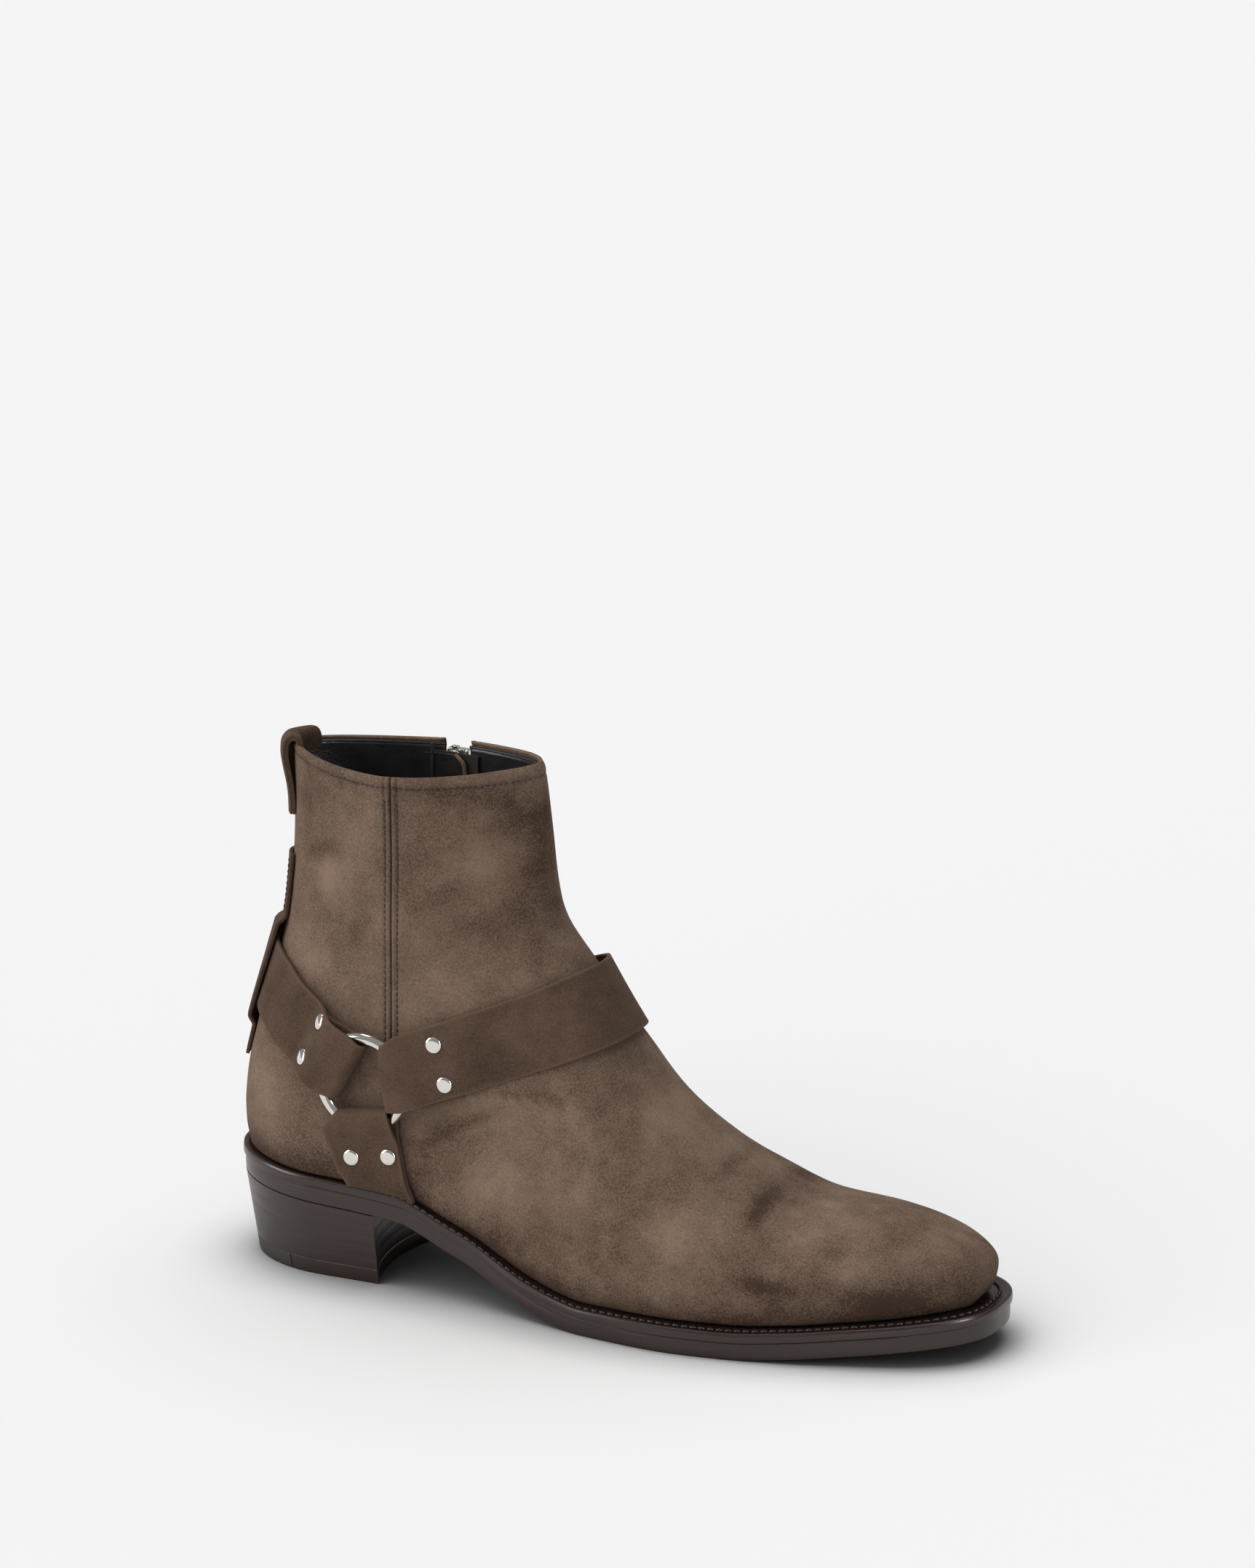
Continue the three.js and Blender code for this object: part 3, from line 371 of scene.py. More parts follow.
def on_side(x, z, side):
    """The upper's surface as a side view: the point at x and z on one side, and its normal."""
    x, z = np.broadcast_arrays(np.asarray(x, float), np.asarray(z, float))

    def at(px, pz):
        return np.stack([px, side * upper_half(px, pz, side) + centre_line(px), pz], axis=-1)

    normal = unit(np.cross(at(x + 0.6, z) - at(x - 0.6, z), at(x, z + 0.6) - at(x, z - 0.6)))
    normal = np.where(normal[..., 1:2] * side < 0, -normal, normal)
    return at(x, z), normal


def on_back(y, z, distance):
    """The upper's surface seen from the back: the point at y and z, moved out by a distance."""
    y, z, distance = np.broadcast_arrays(np.asarray(y, float), np.asarray(z, float), distance)

    def at(py, pz):
        low = line_x(back_line, pz)
        half = solve_rising(
            lambda px: upper_half(px, pz, np.where(py < 0, -1, 1)), np.abs(py), low, low + 40
        )
        return np.stack([half, py, pz], axis=-1)

    side = np.where(y < 0, -1.0, 1.0)
    here = at(y, z)
    across = (at(y + side * 0.8, z) - here) * side[..., None]
    normal = unit(np.cross(at(y, z + 0.8) - at(y, z - 0.8), across))
    normal = np.where(normal[..., 0:1] > 0, -normal, normal)
    return here + normal * distance[..., None]


# Mesh helpers


def deselect():
    if bpy.context.object and bpy.context.object.mode != "OBJECT":
        bpy.ops.object.mode_set(mode="OBJECT")
    bpy.ops.object.select_all(action="DESELECT")


def activate(piece):
    deselect()
    piece.select_set(True)
    bpy.context.view_layer.objects.active = piece


def move_points(piece, points):
    """Puts a piece's vertices at points of the boot in millimetres."""
    piece.data.vertices.foreach_set("co", to_frame(points).astype(np.float32).ravel())


def set_nap_and_painted_light(piece, values):
    """Stores how much lighter or darker each vertex is: nap tone, painted shade and painted highlight."""
    layer = piece.data.attributes.new("nap", "FLOAT", "POINT")
    layer.data.foreach_set("value", values.astype(np.float32).ravel())


def laid_grid(name, points, wraps=False):
    """A primitive grid laid over rows of points given in millimetres, its faces on the side that the
    rows, taken along and then up, turn their front to. wraps joins the last column to the first."""
    if wraps:
        points = np.concatenate([points, points[:, :1]], axis=1)
    rows, count = points.shape[:2]
    deselect()
    bpy.ops.mesh.primitive_grid_add(x_subdivisions=count - 1, y_subdivisions=rows - 1, size=1)
    piece = bpy.context.object
    piece.name = name
    piece.data.name = name
    move_points(piece, points)
    step_along = np.linalg.norm(np.diff(points, axis=1), axis=-1).mean(axis=0)
    step_up = np.linalg.norm(np.diff(points, axis=0), axis=-1).mean(axis=1)
    along = np.concatenate([[0], np.cumsum(step_along)]) * MM
    upward = np.concatenate([[0], np.cumsum(step_up)]) * MM
    corners = np.empty(len(piece.data.loops), np.int32)
    piece.data.loops.foreach_get("vertex_index", corners)
    uv = np.stack([along[corners % count], upward[corners // count]], axis=1)
    piece.data.uv_layers[0].data.foreach_set("uv", uv.astype(np.float32).ravel())
    if wraps:
        merge_doubles(piece)
    return piece


def merge_doubles(piece):
    activate(piece)
    bpy.ops.object.mode_set(mode="EDIT")
    bpy.ops.mesh.select_all(action="SELECT")
    bpy.ops.mesh.remove_doubles(threshold=MERGE_DISTANCE)
    bpy.ops.object.mode_set(mode="OBJECT")


def close_rims(piece):
    """Fills each open edge loop of a piece with a face."""
    activate(piece)
    bpy.ops.object.mode_set(mode="EDIT")
    bpy.ops.mesh.select_all(action="DESELECT")
    bpy.ops.mesh.select_mode(type="EDGE")
    bpy.ops.mesh.select_non_manifold(extend=False)
    bpy.ops.mesh.edge_face_add()
    bpy.ops.mesh.select_all(action="SELECT")
    bpy.ops.mesh.normals_make_consistent(inside=False)
    bpy.ops.object.mode_set(mode="OBJECT")


def thicken(piece, thickness, offset=-1.0, rounding=0.0):
    """Gives a laid sheet its thickness in millimetres and rounds its cut edges."""
    activate(piece)
    solid = piece.modifiers.new("thickness", "SOLIDIFY")
    solid.thickness = thickness * MM
    solid.offset = offset
    solid.use_even_offset = False
    bpy.ops.object.modifier_apply(modifier=solid.name)
    if rounding:
        bevel = piece.modifiers.new("rounding", "BEVEL")
        bevel.width = rounding * MM
        bevel.segments = 2
        bevel.limit_method = "ANGLE"
        bevel.angle_limit = math.radians(50)
        bpy.ops.object.modifier_apply(modifier=bevel.name)


def smooth_faces(piece, angle=None):
    activate(piece)
    if angle is None:
        bpy.ops.object.shade_smooth()
    else:
        bpy.ops.object.shade_smooth_by_angle(angle=math.radians(angle))


def settle(piece, material, body, slot, *nodes):
    """Gives a finished piece its material, its body and the nodes of the frame that it stands for."""
    piece.data.materials.clear()
    piece.data.materials.append(material)
    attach(piece, body)
    if nodes:
        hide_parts(*nodes)


def joined_copies(name, model, frames):
    """One mesh with a copy of the model, which it uses up, at each frame: an origin and the X, Y and Z
    directions there."""
    base = np.array([v.co[:] for v in model.data.vertices])
    faces = [tuple(p.vertices) for p in model.data.polygons]
    origins = np.array([f[0] for f in frames])
    axes = np.array([np.stack(f[1:], axis=0) for f in frames])
    points = origins[:, None] + np.einsum("vk,nkj->nvj", base, axes)
    count = len(base)
    everything = [tuple(i + n * count for i in face) for n in range(len(frames)) for face in faces]
    mesh = bpy.data.meshes.new(name)
    mesh.from_pydata(to_frame(points.reshape(-1, 3)).tolist(), [], everything)
    mesh.update()
    piece = bpy.data.objects.new(name, mesh)
    bpy.context.scene.collection.objects.link(piece)
    bpy.data.objects.remove(model)
    return piece


def walk(path, normals, pitch, start=0.5):
    """Places at equal steps along a path: each its point, direction and normal."""
    lengths = np.concatenate([[0], np.cumsum(np.linalg.norm(np.diff(path, axis=0), axis=1))])
    count = int((lengths[-1] - 2 * start) / pitch)
    at = start + pitch * (np.arange(count) + 0.5)
    point = np.stack([np.interp(at, lengths, path[:, i]) for i in range(3)], axis=1)
    ahead = np.stack([np.interp(at + 0.3, lengths, path[:, i]) for i in range(3)], axis=1)
    behind = np.stack([np.interp(at - 0.3, lengths, path[:, i]) for i in range(3)], axis=1)
    normal = unit(np.stack([np.interp(at, lengths, normals[:, i]) for i in range(3)], axis=1))
    along = unit(ahead - behind)
    across = unit(np.cross(normal, along))
    return [(p, a, c, n) for p, a, c, n in zip(point, along, across, normal)]


def stitches(name, paths, pitch, length, thickness, height, tilt=0.0):
    """Rows of stitches along paths on a surface: each a bead of thread sunk into the leather."""
    frames = []
    for path, normals in paths:
        for point, along, across, normal in walk(path, normals, pitch):
            lean = unit(along + tilt * across)
            frames.append((
                point + normal * height,
                lean * length / 2,
                unit(np.cross(normal, lean)) * thickness / 2,
                normal * thickness / 2,
            ))
    deselect()
    bpy.ops.mesh.primitive_uv_sphere_add(segments=8, ring_count=6, radius=1)
    bead = bpy.context.object
    for vertex in bead.data.vertices:
        vertex.co = Vector((vertex.co.z, vertex.co.y, -vertex.co.x))
    piece = joined_copies(name, bead, frames)
    smooth_faces(piece)
    return piece


# Materials


def linear(hex_colour):
    """An sRGB hex colour as linear red, green, blue and alpha."""
    values = [int(hex_colour[i : i + 2], 16) / 255 for i in (0, 2, 4)]
    return [v / 12.92 if v <= 0.04045 else ((v + 0.055) / 1.055) ** 2.4 for v in values] + [1.0]


def fill(tree, node, inputs):
    """Gives each named input of a node a value or a link."""
    for name, value in inputs.items():
        if isinstance(value, bpy.types.NodeSocket):
            tree.links.new(value, node.inputs[name])
        else:
            node.inputs[name].default_value = value


def add_node(tree, kind, inputs=None, **settings):
    """Adds a node with its settings, and gives its inputs values or links. Sizes in patterns are in
    metres, so a scale of 1 / 0.004 makes a pattern of 4 mm."""
    node = tree.nodes.new(kind)
    for name, value in settings.items():
        setattr(node, name, value)
    fill(tree, node, inputs or {})
    return node


def new_material(name):
    material = bpy.data.materials.new(name)
    material.use_nodes = True
    tree = material.node_tree
    shader = tree.nodes["Principled BSDF"]
    place = add_node(tree, "ShaderNodeTexCoord")
    return material, tree, shader, place.outputs["Object"], place.outputs["UV"]


def brushed_suede(name, light, dark, depth=1.0, spread=0.2, attribute=True):
    """Calf suede: the flesh side, sanded to a short nap. It has no gloss, a dusty sheen at grazing
    angles, and broad lighter and darker patches where a hand has turned the nap."""
    material, tree, shader, place, _ = new_material(name)
    warp = add_node(tree, "ShaderNodeTexNoise", {"Vector": place, "Scale": 1 / 0.05, "Detail": 1.0})
    bent = add_node(
        tree,
        "ShaderNodeMix",
        {"Factor": 0.035, "A": place, "B": warp.outputs["Color"]},
        data_type="VECTOR",
    )
    patches = add_node(
        tree,
        "ShaderNodeTexNoise",
        {"Vector": bent.outputs["Result"], "Scale": 1 / 0.036, "Detail": 3.0, "Roughness": 0.5},
    )
    strokes = add_node(
        tree, "ShaderNodeTexNoise", {"Vector": place, "Scale": 1 / 0.009, "Detail": 3.0, "Roughness": 0.6}
    )
    # The fibres are about 0.1 mm thick, and are drawn coarser so that they show
    fibres = add_node(
        tree, "ShaderNodeTexNoise", {"Vector": place, "Scale": 1 / 0.0007, "Detail": 2.0, "Roughness": 0.75}
    )
    broad = add_node(
        tree,
        "ShaderNodeMapRange",
        {
            "Value": patches.outputs["Fac"],
            "From Min": 0.3,
            "From Max": 0.7,
            "To Min": 0.53 - spread,
            "To Max": 0.53 + spread,
        },
    )
    middle = add_node(
        tree,
        "ShaderNodeMapRange",
        {"Value": strokes.outputs["Fac"], "From Min": 0.3, "From Max": 0.7, "To Min": -0.14, "To Max": 0.14},
    )
    fine = add_node(
        tree,
        "ShaderNodeMapRange",
        {"Value": fibres.outputs["Fac"], "From Min": 0.3, "From Max": 0.7, "To Min": -0.3, "To Max": 0.3},
    )
    total = add_node(
        tree, "ShaderNodeMath", {0: broad.outputs["Result"], 1: middle.outputs["Result"]}, operation="ADD"
    )
    total = add_node(
        tree, "ShaderNodeMath", {0: total.outputs[0], 1: fine.outputs["Result"]}, operation="ADD"
    )
    # The tone stored on the piece: nap marks together with painted shade and painted highlight
    if attribute:
        nap = add_node(tree, "ShaderNodeAttribute", attribute_name="nap")
        total = add_node(
            tree, "ShaderNodeMath", {0: total.outputs[0], 1: nap.outputs["Fac"]}, operation="ADD"
        )
    tone = add_node(
        tree,
        "ShaderNodeMix",
        {"Factor": total.outputs[0], "A": linear(dark), "B": linear(light)},
        data_type="RGBA",
    )
    bump = add_node(
        tree,
        "ShaderNodeBump",
        {"Height": fibres.outputs["Fac"], "Strength": 0.55 * depth, "Distance": 0.0004},
    )
    bump = add_node(
        tree,
        "ShaderNodeBump",
        {
            "Height": strokes.outputs["Fac"],
            "Strength": 0.25,
            "Distance": 0.0006,
            "Normal": bump.outputs["Normal"],
        },
    )
    fill(tree, shader, {
        "Base Color": tone.outputs["Result"],
        "Roughness": 0.96,
        "IOR": 1.4,
        "Specular IOR Level": 0.18,
        "Sheen Weight": 0.12,
        "Sheen Roughness": 0.45,
        "Sheen Tint": linear("a58d78"),
        "Normal": bump.outputs["Normal"],
    })
    return material


def waxed_edge(name, colour, streak, roughness):
    """Vegetable-tanned leather cut, sanded, inked and waxed: dark brown with a soft shine, and fine
    paler lines along the layers where the wax has worn."""
    material, tree, shader, place, run = new_material(name)
    stretched = add_node(tree, "ShaderNodeMapping", {"Vector": run, "Scale": (1 / 0.06, 1 / 0.0011, 1)})
    lines = add_node(
        tree, "ShaderNodeTexNoise", {"Vector": stretched.outputs[0], "Scale": 1.0, "Detail": 3.0}
    )
    worn = add_node(
        tree,
        "ShaderNodeMapRange",
        {"Value": lines.outputs["Fac"], "From Min": 0.6, "From Max": 0.78, "To Min": 0.0, "To Max": 0.5},
    )
    clouds = add_node(tree, "ShaderNodeTexNoise", {"Vector": place, "Scale": 1 / 0.03, "Detail": 3.0})
    shade = add_node(
        tree,
        "ShaderNodeMix",
        {"Factor": clouds.outputs["Fac"], "A": linear(colour), "B": linear("2a201d")},
        data_type="RGBA",
    )
    tone = add_node(
        tree,
        "ShaderNodeMix",
        {"Factor": worn.outputs["Result"], "A": shade.outputs["Result"], "B": linear(streak)},
        data_type="RGBA",
    )
    uneven = add_node(
        tree,
        "ShaderNodeMapRange",
        {
            "Value": clouds.outputs["Fac"],
            "From Min": 0.3,
            "From Max": 0.7,
            "To Min": roughness - 0.06,
            "To Max": roughness + 0.1,
        },
    )
    bump = add_node(
        tree, "ShaderNodeBump", {"Height": lines.outputs["Fac"], "Strength": 0.22, "Distance": 0.0003}
    )
    fill(tree, shader, {
        "Base Color": tone.outputs["Result"],
        "Roughness": uneven.outputs["Result"],
        "IOR": 1.5,
        "Normal": bump.outputs["Normal"],
    })
    return material


def smooth_leather(name, colour, roughness):
    """Finished lining leather: close fine pores under a thin, softly shining coat of colour."""
    material, tree, shader, place, _ = new_material(name)
    pores = add_node(tree, "ShaderNodeTexVoronoi", {"Vector": place, "Scale": 1 / 0.0007})
    wrinkles = add_node(
        tree, "ShaderNodeTexNoise", {"Vector": place, "Scale": 1 / 0.004, "Detail": 4.0, "Roughness": 0.6}
    )
    tone = add_node(
        tree,
        "ShaderNodeMix",
        {"Factor": wrinkles.outputs["Fac"], "A": linear(colour), "B": linear("2b2827")},
        data_type="RGBA",
    )
    bump = add_node(
        tree, "ShaderNodeBump", {"Height": pores.outputs["Distance"], "Strength": 0.25, "Distance": 0.0002}
    )
    bump = add_node(
        tree,
        "ShaderNodeBump",
        {
            "Height": wrinkles.outputs["Fac"],
            "Strength": 0.35,
            "Distance": 0.0008,
            "Normal": bump.outputs["Normal"],
        },
    )
    fill(tree, shader, {
        "Base Color": tone.outputs["Result"],
        "Roughness": roughness,
        "IOR": 1.5,
        "Normal": bump.outputs["Normal"],
    })
    return material


def polished_nickel(name, roughness):
    """Nickel-plated steel, polished: bright and slightly warm, with faint handling haze."""
    material, tree, shader, place, _ = new_material(name)
    haze = add_node(tree, "ShaderNodeTexNoise", {"Vector": place, "Scale": 1 / 0.004, "Detail": 2.0})
    uneven = add_node(
        tree,
        "ShaderNodeMapRange",
        {
            "Value": haze.outputs["Fac"],
            "From Min": 0.3,
            "From Max": 0.7,
            "To Min": roughness * 0.7,
            "To Max": roughness * 1.4,
        },
    )
    fill(tree, shader, {
        "Base Color": linear("dedbd5"),
        "Metallic": 1.0,
        "Roughness": uneven.outputs["Result"],
    })
    return material


def plain(name, colour, roughness, grain, strength):
    """A matt material with a fine even grain: thread, rubber or woven tape."""
    material, tree, shader, place, _ = new_material(name)
    noise = add_node(tree, "ShaderNodeTexNoise", {"Vector": place, "Scale": 1 / grain, "Detail": 2.0})
    spread = add_node(
        tree,
        "ShaderNodeMapRange",
        {"Value": noise.outputs["Fac"], "From Min": 0.3, "From Max": 0.7, "To Min": 0.75, "To Max": 1.25},
    )
    tone = add_node(
        tree,
        "ShaderNodeVectorMath",
        {0: linear(colour)[:3], "Scale": spread.outputs["Result"]},
        operation="SCALE",
    )
    bump = add_node(
        tree, "ShaderNodeBump", {"Height": noise.outputs["Fac"], "Strength": strength, "Distance": 0.0002}
    )
    fill(tree, shader, {
        "Base Color": tone.outputs["Vector"],
        "Roughness": roughness,
        "Normal": bump.outputs["Normal"],
    })
    return material


def woven_tape(name, colour):
    """Polyester zip tape: a close weave of ribs along its length."""
    material, tree, shader, _, run = new_material(name)
    ribs = add_node(tree, "ShaderNodeTexWave", {"Vector": run, "Scale": 1 / 0.0025}, bands_direction="X")
    picks = add_node(tree, "ShaderNodeTexWave", {"Vector": run, "Scale": 1 / 0.0018}, bands_direction="Y")
    weave = add_node(
        tree, "ShaderNodeMath", {0: ribs.outputs["Fac"], 1: picks.outputs["Fac"]}, operation="MULTIPLY"
    )
    tone = add_node(
        tree,
        "ShaderNodeMix",
        {"Factor": weave.outputs[0], "A": linear("14100e"), "B": linear(colour)},
        data_type="RGBA",
    )
    bump = add_node(tree, "ShaderNodeBump", {"Height": weave.outputs[0], "Strength": 0.6, "Distance": 0.0002})
    fill(tree, shader, {
        "Base Color": tone.outputs["Result"],
        "Roughness": 0.85,
        "Normal": bump.outputs["Normal"],
    })
    return material


# Sizes and colours that a user would change


def number(name, description, default, low, high):
    return bpy.props.FloatProperty(
        name=name, description=description, default=default, min=low, max=high
    )


def hex_colour(name, where, default):
    return bpy.props.StringProperty(
        name=name, description="sRGB hex colour of " + where, default=default
    )


class BootSizes(bpy.types.PropertyGroup):
    suede: number("Suede", "Thickness of the upper's suede in millimetres", 1.5, 0.8, 2.0)
    lining: number("Lining", "Thickness of the lining in millimetres", 0.8, 0.4, 0.9)
    stitch_pitch: number("Stitch pitch", "Length of one stitch in millimetres", 2.3, 1.5, 5.0)
    thread: number("Thread", "Thickness of the upper's thread in millimetres", 0.74, 0.3, 1.2)
    welt_pitch: number("Welt stitch pitch", "Length of one welt stitch in millimetres", 3.3, 2.0, 6.0)
    crease_depth: number("Creases", "How deep the soft creases are, 1 as in the photograph", 1.0, 0.0, 2.0)
    heel_lifts: bpy.props.IntProperty(
        name="Heel lifts",
        description="Layers of leather in the heel above its lowest one",
        default=5,
        min=2,
        max=8,
    )
    tooth_pitch: number("Zip pitch", "Distance between the zip's teeth in millimetres", 2.0, 1.0, 4.0)


class BootColours(bpy.types.PropertyGroup):
    suede_light: hex_colour("Suede, light", "the nap brushed towards the eye", "867161")
    suede_dark: hex_colour("Suede, dark", "the nap brushed away", "423127")
    strap_light: hex_colour("Strap, light", "the straps' lighter nap", "624e41")
    strap_dark: hex_colour("Strap, dark", "the straps' darker nap", "35291f")
    sole: hex_colour("Sole", "the sole's and heel's edges", "33221d")
    lining: hex_colour("Lining", "the lining leather", "1b1c1e")
    piping: hex_colour("Piping", "the piping and the folded edge of the lining", "141b24")
    thread: hex_colour("Thread", "the upper's thread", "2b211c")


class BootStudio(bpy.types.PropertyGroup):
    floor: hex_colour("Floor", "the floor", "ededed")
    key_power: number("Key light", "Strength of the wide light from above", 1.75, 0.0, 20.0)
    sky: number("Sky", "Strength of the even light from all round", 0.3, 0.0, 3.0)


def sizes():
    return bpy.context.scene.boot_sizes


def colours():
    return bpy.context.scene.boot_colours


# The upper


SEAM_LOW_X = 75.9  # the side seam's x at the feather line
SEAM_TOP_X = 74.2
ROW_FROM_EDGE = 2.5  # from the edge of the slot or of the side seam to its row of stitches
ROW_FROM_RIM = 2.8  # from the collar's rim to its row of stitches
EDGE_STEPS = np.array([0, 0.25, 0.5, 0.8, 1.15, 1.55, 1.95, 2.3, 2.65, 3.0, 3.5, 4.2, 5.2])
COLLAR_STEPS = np.array([0, 0.3, 0.7, 1.2, 1.9, 2.5, 2.9, 3.2, 3.5, 3.8, 4.3, 5.2, 6.2, 7.4])

# Soft creases and hollows placed on the sides: side, where each starts and ends as x and z,
# half its width, and its depth; a negative depth is a ridge
creases = [
    (-1, 92, 66, 122, 76, 2.6, 0.55),
    (-1, 90, 58, 125, 70, 3.0, 0.4),
    (-1, 92, 62, 121, 73, 2.2, -0.4),
    (-1, 84, 60, 96, 46, 3.5, 0.5),
    (-1, 128, 84, 152, 66, 6.0, 0.5),
    (-1, 175, 52, 195, 34, 8.0, 0.45),
    (-1, 198, 46, 214, 28, 7.0, -0.4),
    (-1, 30, 150, 60, 140, 8.0, 0.5),
    (-1, 28, 178, 52, 168, 9.0, 0.4),
    (-1, 90, 170, 118, 160, 10.0, 0.5),
    (-1, 88, 128, 126, 140, 9.0, 0.5),
    (-1, 32, 118, 56, 128, 7.0, 0.4),
    (1, 92, 64, 122, 74, 3.0, 0.5),
    (1, 128, 84, 152, 66, 6.0, 0.5),
    (1, 175, 50, 195, 34, 8.0, 0.45),
    (1, 30, 150, 58, 142, 8.0, 0.5),
    (1, 92, 168, 118, 160, 10.0, 0.5),
]

# Lighter and darker marks on the sides: partly the nap's own patches, partly painted shade along creases and
# above the welt, and painted light on the lit parts. Each gives x, z, half length, half height, its turn in
# degrees, and how much lighter or darker it is
nap_and_painted_light_marks = [
    (120, 182, 14, 9, 0, -0.34),
    (123, 162, 8, 12, 10, -0.3),
    (114, 146, 12, 6, 20, -0.22),
    (107, 165, 9, 7, -20, 0.34),
    (90, 151, 12, 5, 25, -0.24),
    (100, 190, 30, 4, 0, -0.16),
    (96, 122, 11, 8, 20, 0.3),
    (45, 153, 7, 9, 0, 0.36),
    (38, 124, 8, 13, 0, 0.3),
    (44, 164, 10, 4, 20, -0.36),
    (32, 180, 9, 6, 0, -0.26),
    (60, 132, 8, 10, 0, -0.16),
    (62, 176, 9, 12, 0, 0.12),
    (157, 84, 12, 7, -45, -0.28),
    (134, 84, 10, 5, 20, -0.16),
    (172, 60, 10, 12, 0, -0.14),
    (122, 47, 17, 10, 25, 0.32),
    (152, 50, 14, 8, 0, 0.16),
    (105, 56, 10, 5, 25, -0.22),
    (100, 66, 14, 2.2, 27, -0.34),
    (186, 72, 18, 5, -35, 0.26),
    (190, 42, 16, 8, 0, 0.2),
    (212, 32, 12, 4, 0, 0.14),
    (218, 49, 3.2, 6.2, 20, -0.5),
    (202, 60, 3.4, 2.4, 0, -0.34),
    (226, 51, 5, 2, -20, -0.3),
    (236, 47, 9, 5, 0, 0.26),
    (222, 30, 9, 3.6, -10, -0.32),
    (233, 27, 12, 3.6, 0, -0.34),
    (247, 41, 8, 3.4, -10, -0.28),
    (258, 47, 10, 2.6, -12, -0.18),
    (257, 33, 9, 4, 0, 0.16),
    (266, 42, 7, 3, 0, -0.24),
    (271, 25, 14, 4.6, 0, -0.42),
    (294, 32, 8, 8, 0, -0.34),
    (20, 66, 9, 13, 0, 0.28),
    (22, 92, 9, 6, 0, -0.16),
    (42, 47, 14, 4, 0, -0.2),
    (86, 46, 6, 8, 0, -0.16),
]


def seam_x(t):
    return mix(SEAM_LOW_X, SEAM_TOP_X, t)


def slot_half(t):
    """Half the width of the zip's slot at level t: a hair below its lower end, then opening out."""
    z = upper_point(turn_at(ZIP_X, t, 1), t)[..., 2]
    return mix(0.1, SLOT_HALF, np.sqrt(clamp((z - SLOT_BOTTOM) / 5.0, 0, 1)))


def relief(points, side):
    """How far the leather stands in or out at points of the upper, for its creases."""
    total = np.zeros(points.shape[:-1])
    x = points[..., 0]
    z = points[..., 2]
    for crease_side, x0, z0, x1, z1, reach, depth in creases:
        run = np.array([x1 - x0, z1 - z0], float)
        k = ((x - x0) * run[0] + (z - z0) * run[1]) / (run @ run)
        inside = clamp(k, 0, 1)
        away = np.hypot(x - x0 - inside * run[0], z - z0 - inside * run[1])
        fade = 0.35 + 0.65 * np.sin(np.pi * inside)
        there = np.where(side == crease_side, 1.0, 0.0)
        total -= depth * fade * there * np.exp(-((away / reach) ** 2))
    total += 0.16 * np.sin(x / 9.1 + 0.4) * np.sin(z / 11.7 + x / 31)
    # The instep is a little fuller below its strap than the last beneath it
    total += 2.0 * np.exp(-(((x - 128) / 17) ** 2) - ((z - 84) / 15) ** 2)
    return total * sizes().crease_depth


def upper_rows():
    """Levels of the upper's sheets, close together at the feather line and at the collar."""
    top = 1 - COLLAR_STEPS[::-1] / BACK_RANGE
    low = np.linspace(0, 1, 104) ** 1.12 * (top[0] - 0.008)
    return np.concatenate([low, top])


def panel_turns(t, start, end, start_sign, count):
    """Turns across a panel at each level: fine steps beside both edges, even ones between."""
    rows = []
    for level, (x0, side0), (x1, side1) in zip(t, start, end):
        near = turn_at(x0 + start_sign * EDGE_STEPS, level, side0)
        far = turn_at(x1 + start_sign * EDGE_STEPS[::-1], level, side1)
        if start_sign < 0:
            near = near - 2 * np.pi
        k = np.linspace(0, 1, count + 2)[1:-1]
        rows.append(np.concatenate([near, mix(near[-1], far[0], k), far]))
    return np.array(rows)


